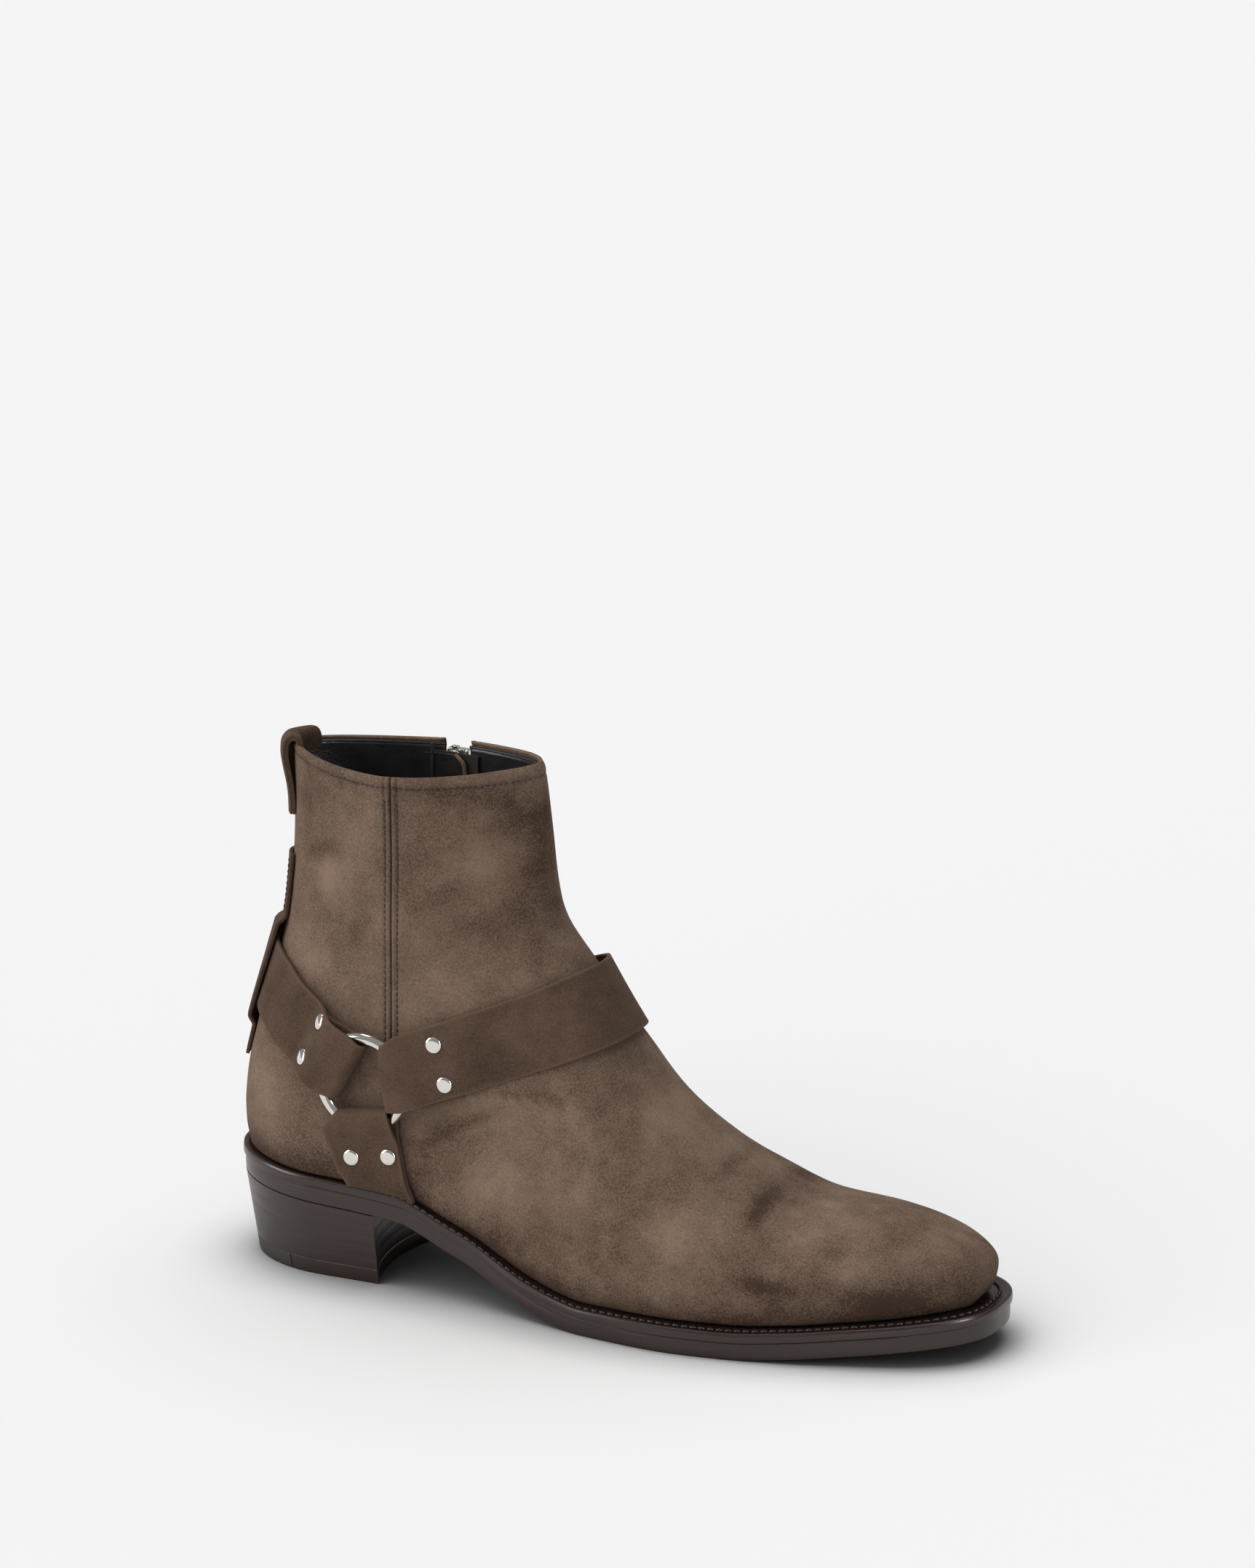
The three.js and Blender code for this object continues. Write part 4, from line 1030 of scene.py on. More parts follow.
def panel(name, turns, t, edge_distance):
    """One of the upper's two suede panels, with its rolled edges and stitching channels, and a stored tone of
    nap marks with painted shade and painted highlight.
    """
    points = upper_point(turns, t[:, None])
    normals = upper_normal(turns, t[:, None])
    side = np.where(np.sin(turns) >= 0, -1, 1)
    down = (1 - t[:, None]) * BACK_RANGE
    out = relief(points, side)
    # The rolled edges of the side seam and of the slot, with the leather puffed beside them
    out = out - 0.6 * np.exp(-((edge_distance / 0.35) ** 2))
    out = out + 0.3 * np.exp(-(((edge_distance - 1.2) / 0.6) ** 2))
    out = out - 0.3 * np.exp(-(((edge_distance - ROW_FROM_EDGE) / 0.45) ** 2))
    # The channel of the row below the collar, and the collar's rounded rim
    out = out - 0.26 * np.exp(-(((down - ROW_FROM_RIM) / 0.5) ** 2)) - 0.55 * np.exp(-((down / 0.8) ** 2))
    out = out + 0.14 * np.exp(-(((down - 2.2) / 1.1) ** 2))
    piece = laid_grid(name, points + normals * out[..., None])
    tone = np.zeros(points.shape[:-1])
    # The marks: nap tone, painted shade and painted light, full on the outer side and weaker on the inner
    for x, z, length, height, turn, strength in nap_and_painted_light_marks:
        c = math.cos(math.radians(turn))
        s = math.sin(math.radians(turn))
        along = (points[..., 0] - x) * c + (points[..., 2] - z) * s
        across = (points[..., 2] - z) * c - (points[..., 0] - x) * s
        mark = np.exp(-((along / length) ** 2) - (across / height) ** 2)
        tone += strength * mark * np.where(side < 0, 1.0, 0.7)
    # Painted shade: darker in a band just above the welt, where the upper meets it, and along the rolled-in
    # edges of the side seam and the slot
    low = points[..., 2] - feather(points[..., 0])
    tone -= 0.42 * np.exp(-((low / 8.0) ** 2)) + 0.2 * np.exp(-((edge_distance / 0.5) ** 2))
    # Painted shade in the creases and painted highlight on the ridges between them, on the outer side about
    # the vamp's height
    tone += 0.22 * relief(points, side) * (side < 0) * (np.abs(points[..., 2] - 68) < 14)
    # Painted shade in the stitching channels beside the seam, the slot and the collar
    tone -= 0.18 * np.exp(-(((edge_distance - ROW_FROM_EDGE) / 0.7) ** 2))
    tone -= 0.18 * np.exp(-(((down - ROW_FROM_RIM) / 0.7) ** 2))
    set_nap_and_painted_light(piece, tone)
    thicken(piece, sizes().suede)
    smooth_faces(piece)
    return piece


def side_line(x, t_low, t_high, side, offset=0.0):
    """A path up one side at x, which may be a function of the level, and its normals."""
    t = np.linspace(t_low, t_high, 160)
    turns = turn_at(x(t) + offset, t, side)
    return upper_point(turns, t), upper_normal(turns, t)


def level_at(x, z, side):
    """The level t at which the upper passes height z at x on one side."""
    return float(solve_rising(lambda t: upper_point(turn_at(x, t, side), t)[..., 2], z, 0.0, 1.0))


def collar_line(drop, margin):
    """A path round the collar, a distance below its edge, from one side of the slot to the other."""
    t = 1 - drop / BACK_RANGE
    start = float(turn_at(ZIP_X - SLOT_HALF - margin, t, 1)) - 2 * np.pi
    end = float(turn_at(ZIP_X + SLOT_HALF + margin, t, 1))
    turns = np.linspace(start, end, 500)
    return upper_point(turns, t), upper_normal(turns, t)


class OBJECT_OT_boot_upper(bpy.types.Operator):
    """Lay the front and back suede panels over the last, with rolled seams, creases, nap, and painted shade
    and highlight
    """

    bl_idname = "object.boot_upper"
    bl_label = "Suede upper"

    def execute(self, context):
        suede = brushed_suede("Brushed calf suede", colours().suede_light, colours().suede_dark)
        t = upper_rows()
        slot = slot_half(t)
        seam = seam_x(t)
        front_turns = panel_turns(
            t,
            [(x + 0.06, -1) for x in seam],
            [(ZIP_X + s, 1) for s in slot],
            1,
            210,
        )
        points = upper_point(front_turns, t[:, None])
        lateral = np.where(np.sin(front_turns) >= 0, points[..., 0] - seam[:, None], 99)
        medial = np.where(np.sin(front_turns) < 0, points[..., 0] - (ZIP_X + slot)[:, None], 99)
        front = panel("upper_front", front_turns, t, np.abs(np.minimum(lateral, medial)))
        settle(front, suede, "boot", "suede", "upper")
        back_turns = panel_turns(
            t,
            [(ZIP_X - s, 1) for s in slot],
            [(x - 0.06, -1) for x in seam],
            -1,
            110,
        )
        points = upper_point(back_turns, t[:, None])
        lateral = np.where(np.sin(back_turns) >= 0, seam[:, None] - points[..., 0], 99)
        medial = np.where(np.sin(back_turns) < 0, (ZIP_X - slot)[:, None] - points[..., 0], 99)
        back = panel("upper_back", back_turns, t, np.abs(np.minimum(lateral, medial)))
        settle(back, suede, "boot", "suede")
        return {"FINISHED"}


class OBJECT_OT_boot_lining(bpy.types.Operator):
    """Line the shaft with black leather, wrinkled a little near the zip, and pipe its top edge"""

    bl_idname = "object.boot_lining"
    bl_label = "Lining"

    def execute(self, context):
        leather = smooth_leather("Black lining leather", colours().lining, 0.36)
        t = np.concatenate([np.linspace(0.015, 0.9, 70), np.linspace(0.91, 1 - 1.5 / BACK_RANGE, 14)])
        slot = slot_half(t) + 0.6
        start = turn_at(ZIP_X + slot, t, 1)
        end = turn_at(ZIP_X - slot, t, 1) - 2 * np.pi
        k = np.linspace(0, 1, 300)
        turns = start[:, None] + (end - start)[:, None] * k
        points = upper_point(turns, t[:, None])
        normals = upper_normal(turns, t[:, None])
        down = (1 - t[:, None]) * BACK_RANGE
        near_zip = np.exp(-((points[..., 0] - ZIP_X) / 26) ** 2) * np.where(np.sin(turns) < 0, 1.0, 0.25)
        folds = 0.55 * np.sin(points[..., 0] * 0.62 + points[..., 2] * 0.07) * near_zip
        folds += 0.3 * np.sin(points[..., 0] * 0.31 + points[..., 2] * 0.23 + 1.2)
        folds *= smooth(down / 9)
        inner = points - normals * (WALL - 0.1 + 0.5 * folds)[..., None]
        inner[..., 2] -= 0.5 * np.exp(-((down / 1.2) ** 2))
        lining = laid_grid("lining", inner)
        thicken(lining, sizes().lining)
        smooth_faces(lining)
        settle(lining, leather, "boot", "lining_leather")

        path, normals = collar_line(1.4, 0.2)
        middle = path - normals * (sizes().suede + 0.35)
        middle[:, 2] -= 0.1
        rows = [
            middle + PIPING_RADIUS * (np.cos(a) * normals + np.sin(a) * UP)
            for a in np.linspace(0, 2 * np.pi, 11)
        ]
        piping = laid_grid("collar_piping", np.array(rows))
        merge_doubles(piping)
        smooth_faces(piping)
        settle(piping, smooth_leather("Navy piping leather", colours().piping, 0.5), "boot", "lining_leather")
        return {"FINISHED"}


class OBJECT_OT_boot_seams(bpy.types.Operator):
    """Sew the side seam, the collar and both sides of the zip"""

    bl_idname = "object.boot_seams"
    bl_label = "Upper stitching"

    def execute(self, context):
        thread = plain("Waxed polyester thread", colours().thread, 0.7, 0.0003, 0.4)
        top = 1 - 5.2 / BACK_RANGE
        low = level_at(SEAM_LOW_X, 43.0, -1)
        zip_low = level_at(ZIP_X, SLOT_BOTTOM - 3, 1)
        zip_top = 1 - 2.0 / BACK_RANGE
        inner_low = level_at(ZIP_X, 44.0, 1)

        def beside_zip(distance):
            return lambda t: ZIP_X + distance + 0 * t

        beside_slot = SLOT_HALF + ROW_FROM_EDGE
        paths = [
            side_line(seam_x, low, top, -1, -ROW_FROM_EDGE + 0.1),
            side_line(seam_x, low, top, -1, ROW_FROM_EDGE + 0.1),
            side_line(beside_zip(beside_slot), zip_low, zip_top, 1),
            side_line(beside_zip(-beside_slot), zip_low, zip_top, 1),
            side_line(beside_zip(ROW_FROM_EDGE), inner_low, zip_low, 1),
            side_line(beside_zip(-ROW_FROM_EDGE), inner_low, zip_low, 1),
            collar_line(ROW_FROM_RIM, ROW_FROM_EDGE),
        ]
        pitch = sizes().stitch_pitch
        rows = stitches("upper_stitches", paths, pitch, pitch * 0.74, sizes().thread, -0.22, tilt=0.12)
        settle(rows, thread, "boot", "suede")
        return {"FINISHED"}


# The harness


def ring_frame(side):
    """The middle of a ring and the direction it faces: it stands off far enough for a strap beneath."""
    point, normal = on_side(RING_X, RING_Z, side)
    return point + normal * (STRAP_LAYER + WIRE_RADIUS + 1.3), normal


ring_frames = {side: ring_frame(side) for side in (-1, 1)}
UNDER = 0.8  # the air beneath a strap
ROLL = WIRE_RADIUS + GAP + STRAP_LAYER + 0.3  # from the wire's middle to the strap's outer face


def strap_faces(points, side, along_ring):
    """How far a strap's two faces stand off the upper: beside its ring it is rolled round the wire,
    then its two layers close on each other, and past the folded-back end only one is left."""
    centre, normal = ring_frames[side]
    height = (centre - points) @ normal
    doubled = UNDER + 2 * STRAP_LAYER
    single = UNDER + STRAP_LAYER
    thick = mix(doubled, single, smooth((along_ring - DOUBLED_LENGTH + 1) / 14))
    middle = mix(height, (UNDER + thick) / 2, smooth((along_ring - RING_RADIUS - 1) / 12))
    closed = (thick - UNDER) / 2
    half = mix(ROLL, closed, smooth((along_ring - RING_RADIUS + 2) / 10))
    return np.maximum(middle - half, UNDER), middle + half


NOSE_ANGLE = np.linspace(-np.pi / 2, np.pi / 2, 11)[1:-1]
LAYER_HANG = 1.1  # how much lower the folded-back layer lies than the one over it


def under_layer(near, far):
    return near + STRAP_LAYER / 2


def over_layer(near, far):
    return far - STRAP_LAYER / 2


def fold_nose(near, far):
    """The middle of the leather where it rolls over from the layer beneath to the one on top."""
    return (near + far) / 2 + (far - near - STRAP_LAYER) / 2 * np.sin(NOSE_ANGLE)


def ribbon(name, points, reverse, material, node):
    """A folded band of suede laid over its middle surface, its raw edges rounded and given a painted
    highlight.
    """
    if reverse:
        points = points[::-1]
    strap = laid_grid(name, points)
    edges = np.linspace(0, 1, len(points))[:, None] + np.zeros(points.shape[:2])
    gap = np.minimum(edges, 1 - edges) * (len(points) - 1)
    # Painted highlight: the tone is raised towards the light colour along the band's two raw edges
    set_nap_and_painted_light(strap, 0.8 * np.exp(-gap / 0.5))
    thicken(strap, STRAP_LAYER - 0.15, offset=0.0, rounding=0.32)
    smooth_faces(strap, 60)
    settle(strap, material, "boot", "strap_suede", node)


def wrap_strap(name, slope, front, fold_at, lift, width, stand_off, rows, material, node):
    """A strap that leaves one ring, runs round the front or back and meets the other. It is one band
    of leather: its folded-back end, the roll round the wire, the run round the boot, and the same
    again at the other ring. fold_at gives the fold's distance from the ring's middle at a share of
    the strap's width."""
    c = math.cos(math.radians(slope))
    s = math.sin(math.radians(slope))
    along = np.array([c if front else -c, 0.0, s])
    across = np.array([-s if front else s, 0.0, c])
    ring = np.array([RING_X, 0.0, RING_Z])
    base = across @ ring + lift
    turns = np.linspace(0.35, np.pi, 150) if front else np.linspace(0.0, 2.4, 150)
    shares = np.linspace(-0.5, 0.5, rows)
    folds = fold_at(shares)

    def half_band(side, drop):
        """Where each row of one half runs: the layer beneath hangs a little lower than the one on top."""
        signed = (turns if side < 0 else 2 * np.pi - turns) + np.zeros((rows, 1))
        height = base + shares[:, None] * width + np.zeros(signed.shape)
        for _ in range(2):
            level = solve_rising(lambda t: upper_point(signed, t) @ across, height, 0.0, 1.0)
            reach = (upper_point(signed, level) - ring) @ along
            past_fold = reach - folds[:, None]
            narrowed = 1 - 0.11 * (1 - smooth(past_fold / 7))
            height = base + shares[:, None] * width * narrowed - drop * smooth(past_fold / 12)
        return level, reach

    halves = {(side, drop): half_band(side, drop) for side in (-1, 1) for drop in (0.0, LAYER_HANG)}
    band = []
    for row, k in enumerate(shares):
        fold = float(folds[row])

        def place(distance, side, drop, off_of):
            level, reach = (part[row] for part in halves[side, drop])
            order = np.argsort(reach)
            turn = np.interp(distance, reach[order], turns[order])
            t = np.interp(turn, turns, level)
            towards = turn if side < 0 else 2 * np.pi - turn
            point = upper_point(towards, t)
            normal = upper_normal(towards, t)
            near, far = strap_faces(point, side, (point - ring) @ along)
            from_front = np.abs(turn - (np.pi if front else 0.0))
            bridge = stand_off * (0.7 + k) * smooth(1.3 - from_front / 0.9)
            return point + normal * (off_of(near, far) + bridge)[..., None]

        def row_half(side):
            limit = float(halves[side, 0.0][1][row].max())
            roll = fold + 2.6
            folded = np.linspace(DOUBLED_LENGTH - 1.5, roll, 34)
            under = place(folded, side, LAYER_HANG, under_layer)
            nose = place(roll - 2.4 * np.cos(NOSE_ANGLE), side, 0.0, fold_nose)
            rest = np.concatenate([
                np.linspace(roll, DOUBLED_LENGTH + 14, 56),
                np.linspace(DOUBLED_LENGTH + 14, limit, 64)[1:],
            ])
            return np.concatenate([under, nose, place(rest, side, 0.0, over_layer)])

        left = row_half(-1)
        right = row_half(1)[::-1]
        joint = (left[-1] + right[0]) / 2
        band.append(np.concatenate([left[:-1], joint[None], right[1:]]))
    ribbon(name, np.array(band), not front, material, node)


# The strap from a ring to the welt: distance below the ring's middle, and its back and front edges
# beside its leaning middle line
side_back, side_front = columns([
    (10.5, -11.2, 9.2),
    (13, -14, 9.8),
    (17, -17.6, 10.3),
    (22, -18.3, 10.5),
    (30, -17.3, 10.9),
    (37, -14.5, 11.6),
    (50, -11.5, 13),
])
SIDE_TOP = 10.5
SIDE_LEAN = math.radians(8.5)


def side_place(down, k):
    across = mix(side_back(down), side_front(down), k)
    x = RING_X + down * math.sin(SIDE_LEAN) + across * math.cos(SIDE_LEAN)
    z = RING_Z - down * math.cos(SIDE_LEAN) + across * math.sin(SIDE_LEAN)
    return x, z


def side_strap(name, side, material, node):
    """The short strap from a ring down to the welt, folded over the wire, both ends stopping just above the
    welt.
    """
    band = []
    for k in np.linspace(0, 1, 26):

        def clear_of_sole(down):
            x, z = side_place(down, k)
            return -(z - feather(x) - 3 * GAP)

        lowest = float(solve_rising(clear_of_sole, 0.0, 20.0, 60.0))

        def place(down, off_of):
            x, z = side_place(down, k)
            point, normal = on_side(x, z, side)
            near, far = strap_faces(point, side, down)
            return point + normal * off_of(near, far)[..., None]

        roll = SIDE_TOP + 2.2
        run = np.linspace(lowest, roll, 40)
        nose = place(roll - 2.0 * np.cos(NOSE_ANGLE), fold_nose)
        band.append(np.concatenate([place(run, under_layer), nose, place(run[::-1], over_layer)]))
    ribbon(name, np.array(band), side > 0, material, node)


rivet_places = [
    ("heel_upper", 49.5, 101.5, 180 - 26.5),
    ("heel_lower", 41.8, 86.7, 180 - 26.5),
    ("instep_upper", 94.0, 99.3, 21.5),
    ("instep_lower", 98.6, 84.8, 21.5),
    ("side_back", 60.9, 51.4, 8.5 - 90),
    ("side_front", 76.3, 53.7, 8.5 - 90),
]


def rivet_seat(x, z, direction, side):
    """A rivet's place on its strap's face, and the face's normal there."""
    c = math.cos(math.radians(direction))
    s = math.sin(math.radians(direction))

    def face(px, pz):
        point, normal = on_side(px, pz, side)
        _, far = strap_faces(point, side, (px - RING_X) * c + (pz - RING_Z) * s)
        return point + normal * far

    across = face(x + RIVET_RADIUS, z) - face(x - RIVET_RADIUS, z)
    upward = face(x, z + RIVET_RADIUS) - face(x, z - RIVET_RADIUS)
    normal = unit(np.cross(across, upward))
    if normal[1] * side < 0:
        normal = -normal
    return face(x, z), normal


def spun(name, profile, steps):
    """A closed turned piece: the profile, as radius and height in millimetres, spun round Z."""
    mesh = bpy.data.meshes.new(name)
    mesh.from_pydata([(r, 0, h) for r, h in profile], [(i, i + 1) for i in range(len(profile) - 1)], [])
    piece = bpy.data.objects.new(name, mesh)
    bpy.context.scene.collection.objects.link(piece)
    activate(piece)
    bpy.ops.object.mode_set(mode="EDIT")
    bpy.ops.mesh.select_all(action="SELECT")
    bpy.ops.mesh.spin(steps=steps, angle=2 * math.pi, center=(0, 0, 0), axis=(0, 0, 1))
    bpy.ops.mesh.select_all(action="SELECT")
    bpy.ops.mesh.remove_doubles(threshold=0.0001)
    bpy.ops.mesh.normals_make_consistent(inside=False)
    bpy.ops.object.mode_set(mode="OBJECT")
    return piece


def side_frame(normal):
    """Three directions with the given normal as the third."""
    x = unit(np.cross(UP, normal))
    return x, np.cross(normal, x), normal


class OBJECT_OT_boot_straps(bpy.types.Operator):
    """Fold the suede straps round the rings: over the instep, behind the heel, and down each side"""

    bl_idname = "object.boot_straps"
    bl_label = "Straps"

    def execute(self, context):
        suede = brushed_suede(
            "Brushed strap suede", colours().strap_light, colours().strap_dark, depth=1.1, spread=0.34
        )
        instep_fold = curve_through([-0.5, -0.2, 0.1, 0.35, 0.5], [6.0, 7.4, 9.0, 11.4, 13.2])
        wrap_strap("strap_instep_band", 21.5, True, instep_fold, -0.5, 28.0, 2.4, 36, suede, "strap_instep")
        heel_fold = curve_through([-0.5, 0.0, 0.5], [6.2, 5.6, 4.9])
        wrap_strap("strap_heel_band", 26.5, False, heel_fold, 0.8, 27.5, 0.0, 36, suede, "strap_heel")
        side_strap("strap_side_lateral_band", -1, suede, "strap_side_lateral")
        side_strap("strap_side_medial_band", 1, suede, "strap_side_medial")
        return {"FINISHED"}


class OBJECT_OT_boot_rings(bpy.types.Operator):
    """Bend the two nickel rings that hold the straps"""

    bl_idname = "object.boot_rings"
    bl_label = "Rings"

    def execute(self, context):
        nickel = polished_nickel("Polished nickel wire", 0.1)
        for word, side, body in (("lateral", -1, "outer_ring"), ("medial", 1, "inner_ring")):
            centre, normal = ring_frames[side]
            deselect()
            bpy.ops.mesh.primitive_torus_add(
                major_segments=144, minor_segments=28, major_radius=RING_RADIUS, minor_radius=WIRE_RADIUS
            )
            ring = bpy.context.object
            ring.name = "ring_%s_wire" % word
            ring.data.name = ring.name
            x, y, z = side_frame(normal)
            points = np.array([v.co[:] for v in ring.data.vertices]) @ np.stack([x, y, z]) + centre
            move_points(ring, points)
            smooth_faces(ring)
            settle(ring, nickel, body, "ring_metal", "ring_" + word)
        return {"FINISHED"}


class OBJECT_OT_boot_rivets(bpy.types.Operator):
    """Set the twelve domed rivet caps on the straps"""

    bl_idname = "object.boot_rivets"
    bl_label = "Rivets"

    def execute(self, context):
        nickel = polished_nickel("Polished nickel caps", 0.09)
        profile = [(0, 0.86), (0.8, 0.85), (1.6, 0.8), (2.3, 0.71), (2.75, 0.58), (3.0, 0.42), (3.15, 0.22)]
        profile += [(3.2, 0.06), (3.1, -0.02), (0, -0.05)]
        model = spun("rivet_model", profile, 40)
        points = np.array([v.co[:] for v in model.data.vertices])
        for word, side in (("lateral", -1), ("medial", 1)):
            for name, x, z, direction in rivet_places:
                seat, normal = rivet_seat(x, z, direction, side)
                cap = model.copy()
                cap.data = model.data.copy()
                cap.name = "rivet_%s_%s_cap" % (name, word)
                cap.data.name = cap.name
                bpy.context.scene.collection.objects.link(cap)
                axes = np.stack(side_frame(normal))
                move_points(cap, points @ axes + seat + normal * 0.06)
                smooth_faces(cap)
                settle(cap, nickel, "boot", "rivet_metal", "rivet_%s_%s" % (name, word))
        bpy.data.objects.remove(model)
        return {"FINISHED"}


# The strip down the back seam: height above the floor and its inner face's distance from the upper
STRIP_OVER = UNDER + STRAP_LAYER + GAP + 0.4
back_strip_off = curve_through(
    [75, 81, 86.5, 90.5, 98, 118, 127.5, 131.5, 139, 156],
    [0.3, 0.4, 0.5, STRIP_OVER, STRIP_OVER, STRIP_OVER, STRIP_OVER, 0.5, 0.35, 0.3],
)

# The pull loop's middle: height and distance behind the shaft's back, from its outer to its inner foot
loop_path = np.array([
    (171, 1.5),
    (177, 1.8),
    (183, 2.7),
    (189, 4.0),
    (193.6, 4.6),
    (197.2, 4.3),
    (199.5, 3.0),
    (200.5, 1.2),
    (200.4, -0.6),
    (199.2, -1.7),
    (196.5, -2.1),
    (193.5, -2.1),
])


STRIP_WIDTH = 17.0
STRIP_TOP = 156.0
STRIP_BOTTOM = 75.0
LOOP_LAYER = 1.12
LOOP_SHIFT = 0.62  # from the loop's middle to the middle of each of its two layers


class OBJECT_OT_boot_back(bpy.types.Operator):
    """Sew the keeper strip down the back, and lay the two-layer pull loop over the collar"""

    bl_idname = "object.boot_back"
    bl_label = "Back strip and pull loop"

    def execute(self, context):
        suede = brushed_suede(
            "Brushed strip suede", colours().strap_light, colours().strap_dark, depth=1.1, attribute=False
        )
        z = np.linspace(STRIP_TOP, STRIP_BOTTOM, 110)
        y = np.linspace(-0.5, 0.5, 25) * STRIP_WIDTH
        grid_y, grid_z = np.meshgrid(y, z)
        middle = on_back(grid_y, grid_z, back_strip_off(grid_z) + STRAP_LAYER / 2)
        strip = laid_grid("back_keeper_strip", middle)
        thicken(strip, STRAP_LAYER - 0.2, offset=0.0, rounding=0.3)
        smooth_faces(strip, 60)
        settle(strip, suede, "boot", "strap_suede", "back_keeper")

        lengths = np.concatenate([[0], np.cumsum(np.linalg.norm(np.diff(loop_path, axis=0), axis=1))])
        fine = np.linspace(0, lengths[-1], 90)
        height = curve_through(lengths, loop_path[:, 0])(fine)
        behind = curve_through(lengths, loop_path[:, 1])(fine)
        for name, shift, width, nodes in (
            ("pull_loop_outer", LOOP_SHIFT, 15.0, ["pull_loop"]),
            ("pull_loop_inner", -LOOP_SHIFT, 14.4, []),
        ):
            y = np.linspace(-0.5, 0.5, 19) * width
            grid_y, grid_z = np.meshgrid(y, np.minimum(height, COLLAR_HEIGHT - 3))
            seat = on_back(grid_y, grid_z, 0.0)
            path_x = seat[..., 0] - behind[:, None]
            path = np.stack([path_x, seat[..., 1], np.repeat(height[:, None], len(y), axis=1)], axis=-1)
            ahead = np.gradient(path, axis=0)
            out = unit(np.stack([-ahead[..., 2], 0 * ahead[..., 1], ahead[..., 0]], axis=-1))
            layer = laid_grid(name, path + out * shift)
            thicken(layer, LOOP_LAYER, offset=0.0, rounding=0.28)
            smooth_faces(layer, 60)
            settle(layer, suede, "boot", "suede", *nodes)

        thread = plain("Strip thread", colours().thread, 0.7, 0.0003, 0.4)
        paths = []
        for off_middle in (-1, 1):
            z = np.linspace(STRIP_TOP - 1, 133, 60)
            at = np.full(len(z), off_middle * (STRIP_WIDTH / 2 - 1.8))
            line = on_back(at, z, back_strip_off(z) + STRAP_LAYER)
            lifted = on_back(at, z, back_strip_off(z) + STRAP_LAYER + 1)
            paths.append((line, unit(lifted - line)))
        rows = stitches("back_stitches", paths, sizes().stitch_pitch, 1.7, sizes().thread, 0.0)
        settle(rows, thread, "boot", "strap_suede")
        return {"FINISHED"}


# The zip


TAPE_FACE = -WALL - GAP - 0.15
CHAIN_SEAT = TAPE_FACE + GAP + 0.1
CHAIN_THICKNESS = 1.9


def zip_sheet(bottom, top_drop, low, high, rows, count, face, edge=None):
    """A sheet that follows the inner side behind the slot, between two distances beside its middle."""
    z = np.linspace(0, 1, rows)[:, None]
    k = np.linspace(0, 1, count)[None, :]
    top = COLLAR_HEIGHT + COLLAR_RISE / 2 - COLLAR_DIP - top_drop
    z = mix(bottom, top, z) + 0 * k
    x = ZIP_X + mix(low, high if edge is None else edge(z), k)
    point, normal = on_side(x, z, 1)
    return point[:, ::-1] + normal[:, ::-1] * face


def edge_tube(name, middle, normals, radius):
    """A round cord of leather along a path that lies on a surface."""
    forward = unit(np.cross(np.gradient(middle, axis=0), normals))
    rim = [
        middle + radius * (np.cos(a) * forward + np.sin(a) * normals)
        for a in np.linspace(0, 2 * np.pi, 11)
    ]
    tube = laid_grid(name, np.array(rim))
    merge_doubles(tube)
    close_rims(tube)
    smooth_faces(tube, 60)
    return tube


